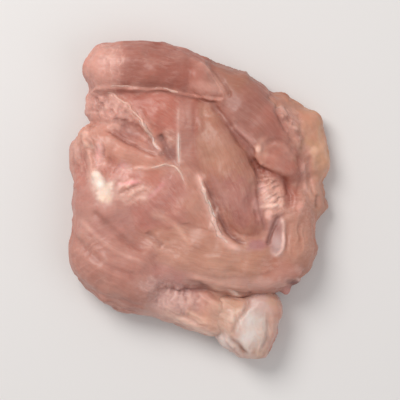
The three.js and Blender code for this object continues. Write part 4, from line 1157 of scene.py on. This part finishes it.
def build_bone():
    h = 0.42
    warp = 0.35
    vol = volume(BONE, (-46, -68, -2), (38, -20, 21), h, warp, seat=1.2)
    v, f = surface(*vol)
    v = relax(v, f, 1, 0.4)
    n = normals(v, f)
    own, col, musc, fib, solid = fibre_map(v, BONE, warp)
    film = np.zeros(len(v))
    # how much open space is above a point, which sets the painted shade further down
    open_ = np.clip(sample(*vol, v + n * 2.0) / 2.0, 0, 1)
    apply_blobs(v, BONE_BLOBS, col, film)
    disp = apply_frays(v, BONE_FRAYS, col)
    disp += apply_strokes(v, n, BONE_STROKES, col, film, seed=40.0)
    cap = region(v, 281, 342.5, 9.5, 10.5, -10) * smooth(0.2, 0.5, n[:, 2])
    rough = 1 - 0.8 * cap
    top = smooth(0.5, 2.5, v[:, 2])
    # the sides are wrapped in pinkish, mottled gristle
    wall = (1 - smooth(0.2, 0.8, n[:, 2]))[:, None]
    pink = wall * (0.30 + 0.35 * smooth(-0.3, 0.6, fbm(N2, v / 5.0 + 2.0, 3)))[:, None]
    col = col * (1 - pink) + lin((206, 152, 138)) * pink
    col = col * (1 + (0.04 + 0.09 * wall) * fbm(N4, v / 3.2, 3)[:, None] * np.array([0.8, 1.2, 1.3]))
    # bluish gristle in patches, and faint blood marks where it was torn
    blue = (0.45 * wall[:, 0] * smooth(0.05, 0.6, fbm(N3, v / 5.5 + 9.0, 3)))[:, None]
    col = col * (1 - blue) + lin((208, 192, 190)) * blue
    blood = (wall[:, 0] * smooth(0.10, 0.70, fbm(N1, v * np.array([0.16, 0.16, 0.30]) + 4.4, 4)) * 0.5)[:, None]
    col = col * (1 - blood) + lin((176, 96, 82)) * blood
    film = np.clip(film + 0.5 * wall[:, 0] * smooth(0.0, 0.7, fbm(N1, v / 4.0 + 6.0, 3)), 0, 1)
    fold = 1 - np.abs(fbm(N3, v * np.array([0.10, 0.10, 0.26]) + 1.0, 2))
    disp += top * wall[:, 0] * 0.5 * (fold ** 3 - 0.45)
    shred = 1 - np.abs(fbm(N2, v * np.array([0.42, 0.42, 0.16]) + 7.0, 2))
    disp += top * wall[:, 0] * 0.20 * (shred ** 3 - 0.4)
    disp += top * rough * (0.30 * fbm(N1, v / 6.5, 2) + 0.14 * fbm(N3, v / 2.4, 2))
    disp += top * musc * 0.12 * N4(fib * np.array([0.08, 0.9, 0.9]))
    v = keep_in(v + n * disp[:, None])
    v[:, 2] = np.maximum(v[:, 2], 0.0)
    n = normals(v, f)
    # painted shade: points with little open space above them, in folds and hollows, are painted darker
    shade = (1 - smooth(0.15, 0.95, open_))[:, None] * 0.4
    col = col * (1 - shade) + col * np.array([0.66, 0.50, 0.46]) * shade
    net = np.zeros(len(v))
    ob = make_mesh("joint_end", v, f, {
        "tint": ("FLOAT_COLOR", col), "fib": ("FLOAT_VECTOR", fib), "film": ("FLOAT", film),
        "net": ("FLOAT", net), "muscle": ("FLOAT", musc * 0.6)})
    ob.data.materials.append(meat_material("cartilage", bump=0.30, gloss=0.36, coat=0.4, sss=0.3, film_col=(236, 210, 198)))
    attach(ob, "root")
    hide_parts("leg_bone")
    print("joint", len(v), "points", round(time.time() - T0, 1), "s")
    return ob, (v, f)


# ---- strings and thin edges -------------------------------------------------------------
class Strings:
    """Fine closed tubes that lie half sunk on the surface below them."""

    def __init__(self, *skins):
        v, f, n = [], [], 0
        for sv, sf in skins:
            v.append(sv); f.append(sf + n); n += len(sv)
        self.tree = BVHTree.FromPolygons(np.concatenate(v).tolist(), np.concatenate(f).tolist())
        self.rng = np.random.RandomState(77)
        self.v, self.f, self.col, self.fib, self.film, self.count = [], [], [], [], [], 0

    def drop(self, xy):
        z = np.zeros(len(xy)); n = np.zeros((len(xy), 3)); ok = np.zeros(len(xy), bool)
        for i, (x, y) in enumerate(xy):
            p, q, _, _ = self.tree.ray_cast(Vector((float(x), float(y), 40.0)), Vector((0, 0, -1)))
            if p is not None and p.z > 0.6:
                z[i], n[i], ok[i] = p.z, q, True
        return z, n, ok

    def lay(self, pts, r=0.35, col=(226, 172, 158), flat=0.55, sink=0.38, lift=0.0, wob=0.0, ends=0.3,
            step=0.5, rough=0.3, sides=6, film=0.0, dip=0.7):
        line = spline(pts, step)
        m = len(line)
        if m < 4:
            return
        ph = self.rng.uniform(0, 30)
        s = np.arange(m) * step
        t = np.linspace(0, 1, m)
        if wob:
            d = np.gradient(line, axis=0)
            d /= np.linalg.norm(d, axis=1, keepdims=True) + 1e-9
            off = 1.7 * wob * N2(np.stack([s * 0.42, np.full(m, ph), np.full(m, 1.3)], -1))
            line = line + np.stack([-d[:, 1], d[:, 0]], -1) * off[:, None]
        z, n, ok = self.drop(line)
        if ok.sum() < 4:
            return
        idx = np.nonzero(ok)[0]
        cut = np.nonzero((np.diff(idx) > 1) | (np.abs(np.diff(z[idx])) > 1.5 * step))[0] + 1
        idx = max(np.split(idx, cut), key=len)
        if len(idx) < 4:
            return
        line, z, n, s = line[idx], z[idx], n[idx], s[idx]
        m = len(line)
        t = np.linspace(0, 1, m)
        ker = np.ones(5) / 5
        pad = np.pad(n, ((2, 2), (0, 0)), mode="edge")
        n = np.stack([np.convolve(pad[:, a], ker, "valid") for a in range(3)], -1)
        n /= np.linalg.norm(n, axis=1, keepdims=True) + 1e-9
        zp = np.pad(z, 1, mode="edge")
        z = np.maximum(z - 0.1, (zp[:-2] + zp[1:-1] + zp[2:]) / 3)
        p = np.column_stack([line, z])
        tan = np.gradient(p, axis=0)
        tan /= np.linalg.norm(tan, axis=1, keepdims=True) + 1e-9
        side = np.cross(tan, n); side /= np.linalg.norm(side, axis=1, keepdims=True) + 1e-9
        up = np.cross(side, tan)
        fade = np.sqrt(smooth(0, ends, t) * smooth(0, ends, 1 - t))
        rad = r * fade * (1 + rough * 1.5 * N3(np.stack([s * 0.5, np.full(m, ph), np.full(m, 4.1)], -1))) + 0.04
        deep = dip * np.maximum(N1(np.stack([s * 0.23, np.full(m, ph), np.full(m, 6.4)], -1)) + 0.15, 0) + 0.8 * (1 - fade)
        c = p + up * (rad * flat * (1 - 2 * sink - 1.6 * deep) + lift * np.sin(np.pi * t))[:, None]
        a = np.arange(sides) * 2 * np.pi / sides
        ring = (c[:, None] + side[:, None] * (np.cos(a) * rad[:, None])[..., None]
                + up[:, None] * (np.sin(a) * rad[:, None] * flat)[..., None]).reshape(-1, 3)
        o = self.count
        for i in range(m - 1):
            for k in range(sides):
                j = (k + 1) % sides
                self.f.append([o + i * sides + k, o + (i + 1) * sides + k, o + (i + 1) * sides + j, o + i * sides + j])
        self.f.append([o + k for k in range(sides)])
        self.f.append([o + (m - 1) * sides + k for k in reversed(range(sides))])
        self.count += m * sides
        base = lin(col) * (1 + 0.10 * N4(np.stack([s * 0.3, np.full(m, ph), np.full(m, 8.8)], -1)))[:, None]
        self.v.append(ring)
        self.col.append(np.repeat(base, sides, 0))
        self.film.append(np.full(m * sides, film))
        self.fib.append(np.column_stack([np.repeat(s, sides), np.tile(a, m) * r, np.full(m * sides, ph)]))

    def scatter(self, n, u, w, ru, rv, ang, heading, spread, length, r, cols, **kw):
        """Short strings strewn over an ellipse of the plan, mostly along one heading."""
        g = self.rng
        ca, sa = math.cos(math.radians(ang)), math.sin(math.radians(ang))
        for _ in range(n):
            th = g.uniform(0, 2 * np.pi); q = math.sqrt(g.uniform())
            x, y = q * ru * math.cos(th), q * rv * math.sin(th)
            x, y = u + x * ca - y * sa, w + x * sa + y * ca
            h = math.radians(heading + g.normal(0, spread))
            ln = length * g.uniform(0.6, 1.5)
            bow = g.normal(0, 0.12) * ln
            dx, dy = math.cos(h), math.sin(h)
            pts = [(x + dx * ln * k - dy * bow * (1 - 4 * k * k), y + dy * ln * k + dx * bow * (1 - 4 * k * k)) for k in (-0.5, -0.17, 0.17, 0.5)]
            k = g.uniform()
            c = [cols[0][i] + (cols[1][i] - cols[0][i]) * k for i in range(3)]
            self.lay(pts, r * g.uniform(0.6, 1.35), c, **kw)


def build_strings(*skins):
    s = Strings(*skins)
    # lower edges of the top muscle's two membranes
    s.lay([(203.8, 230.8), (208, 228.3), (213, 227.5), (219, 227.3), (225, 227.4), (229, 228.1)], 0.40, (226, 172, 157), wob=0.15, ends=0.25, dip=0.8, sink=0.6, rough=0.8, flat=0.45)
    s.lay([(232, 228.9), (236, 228), (240, 228.3), (245, 229.7), (250, 231)], 0.42, (230, 177, 162), wob=0.15, dip=0.8, sink=0.6, rough=0.8, flat=0.45)
    # rope of the frayed side
    s.lay([(211, 228.6), (217, 231), (222, 234.6), (226.4, 240), (231, 245), (234, 249), (236.4, 254), (239, 257.5), (241.4, 258.8)], 0.80, (226, 168, 152), wob=0.5, rough=0.6, dip=0.3, sink=0.5)
    s.lay([(228, 241.4), (231.6, 246), (234.6, 251), (237, 255.4), (240.4, 258.2)], 0.46, (244, 198, 184), wob=0.3, dip=0.2, sink=0.4)
    # white line beside the grey band
    s.lay([(247.3, 248), (247.2, 254), (247.3, 259), (247.7, 264.8)], 0.34, (240, 204, 193), ends=0.4, wob=0.12, dip=0.3, flat=0.4, sink=0.46)
    # thin line over the left bands
    s.lay([(223, 265.6), (229, 265.6), (235, 265.4), (238.4, 264.7), (241.4, 263.9), (244.3, 264.4), (247, 266.5), (249.5, 270), (251, 275)], 0.40, (230, 176, 160), wob=0.25, dip=0.6, flat=0.4, sink=0.5, rough=0.5)
    # ridge beside the long muscle
    s.lay([(255.8, 266.5), (258.4, 274), (260.6, 281), (262.8, 288), (265, 293.8), (268.6, 298.8), (273, 302.2)], 0.80, (234, 188, 174), wob=0.25, rough=0.7, dip=0.4, sink=0.58, flat=0.45)
    s.lay([(260.6, 279), (262.8, 285), (265.4, 290.6)], 0.5, (248, 218, 206), wob=0.2, dip=0.4, sink=0.6, rough=0.8, flat=0.4)
    v = keep_in(np.concatenate(s.v), 0.6)
    ob = make_mesh("strings", v, s.f, {
        "tint": ("FLOAT_COLOR", np.concatenate(s.col)), "fib": ("FLOAT_VECTOR", np.concatenate(s.fib)),
        "film": ("FLOAT", np.concatenate(s.film)), "net": ("FLOAT", np.zeros(len(v))), "muscle": ("FLOAT", np.zeros(len(v)))})
    ob.data.materials.append(meat_material("membrane", bump=0.15, gloss=0.34, coat=0.5, sss=0.3, film_col=(238, 212, 202)))
    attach(ob, "root")
    print("strings", len(v), "points", len(s.f), "faces", round(time.time() - T0, 1), "s")
    return ob


# ---- camera first, then the making ---------------------------------------------------
def look_down():
    cam = bpy.data.cameras.new("camera")
    cam.lens = 150
    cam.sensor_width = 36
    ob = bpy.data.objects.new("camera", cam)
    bpy.context.scene.collection.objects.link(ob)
    view_w = 0.160
    ob.location = (0.0, 0.0, 0.014 + view_w * cam.lens / cam.sensor_width)
    ob.rotation_euler = (0, 0, 0)
    cam.clip_start = 0.01
    cam.clip_end = 10
    bpy.context.scene.camera = ob
    return ob


def stage():
    me = bpy.data.meshes.new("floor")
    s = 1.6
    me.from_pydata([(-s, -s, 0), (s, -s, 0), (s, s, 0), (-s, s, 0)], [], [(0, 1, 2, 3)])
    floor = bpy.data.objects.new("floor", me)
    floor.location.z = -0.0002
    bpy.context.scene.collection.objects.link(floor)
    m = bpy.data.materials.new("floor")
    m.use_nodes = True
    b = m.node_tree.nodes["Principled BSDF"]
    b.inputs["Base Color"].default_value = (*[float(c) for c in lin((226, 223, 222))], 1)
    b.inputs["Roughness"].default_value = 0.6
    b.inputs["Specular IOR Level"].default_value = 0.2
    me.materials.append(m)

    w = bpy.data.worlds.new("world")
    bpy.context.scene.world = w
    w.use_nodes = True
    bg = w.node_tree.nodes["Background"]
    bg.inputs["Color"].default_value = (1.0, 0.99, 0.98, 1)
    bg.inputs["Strength"].default_value = 0.46

    def area(name, loc, size, power, color=(1, 1, 1)):
        d = bpy.data.lights.new(name, "AREA")
        d.shape = "DISK"
        d.size = size
        d.energy = power
        d.color = color
        o = bpy.data.objects.new(name, d)
        bpy.context.scene.collection.objects.link(o)
        o.location = loc
        v = -np.array(loc, float)
        from mathutils import Vector
        o.rotation_euler = Vector(v).to_track_quat("-Z", "Y").to_euler()
        return o
    area("key", (-0.42, 0.50, 0.75), 0.55, 6.6, (1.0, 0.985, 0.96))
    area("fill", (0.60, -0.30, 0.70), 0.8, 1.6, (0.97, 0.98, 1.0))
    sc = bpy.context.scene
    sc.view_settings.view_transform = "Standard"
    sc.view_settings.look = "None"
    sc.view_settings.exposure = 0.0
    sc.view_settings.gamma = 1.0


look_down()
stage()
flesh, skin = build_flesh()
joint, end_skin = build_bone()
build_strings(skin, end_skin)

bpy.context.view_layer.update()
print("made in", round(time.time() - T0, 1), "s")
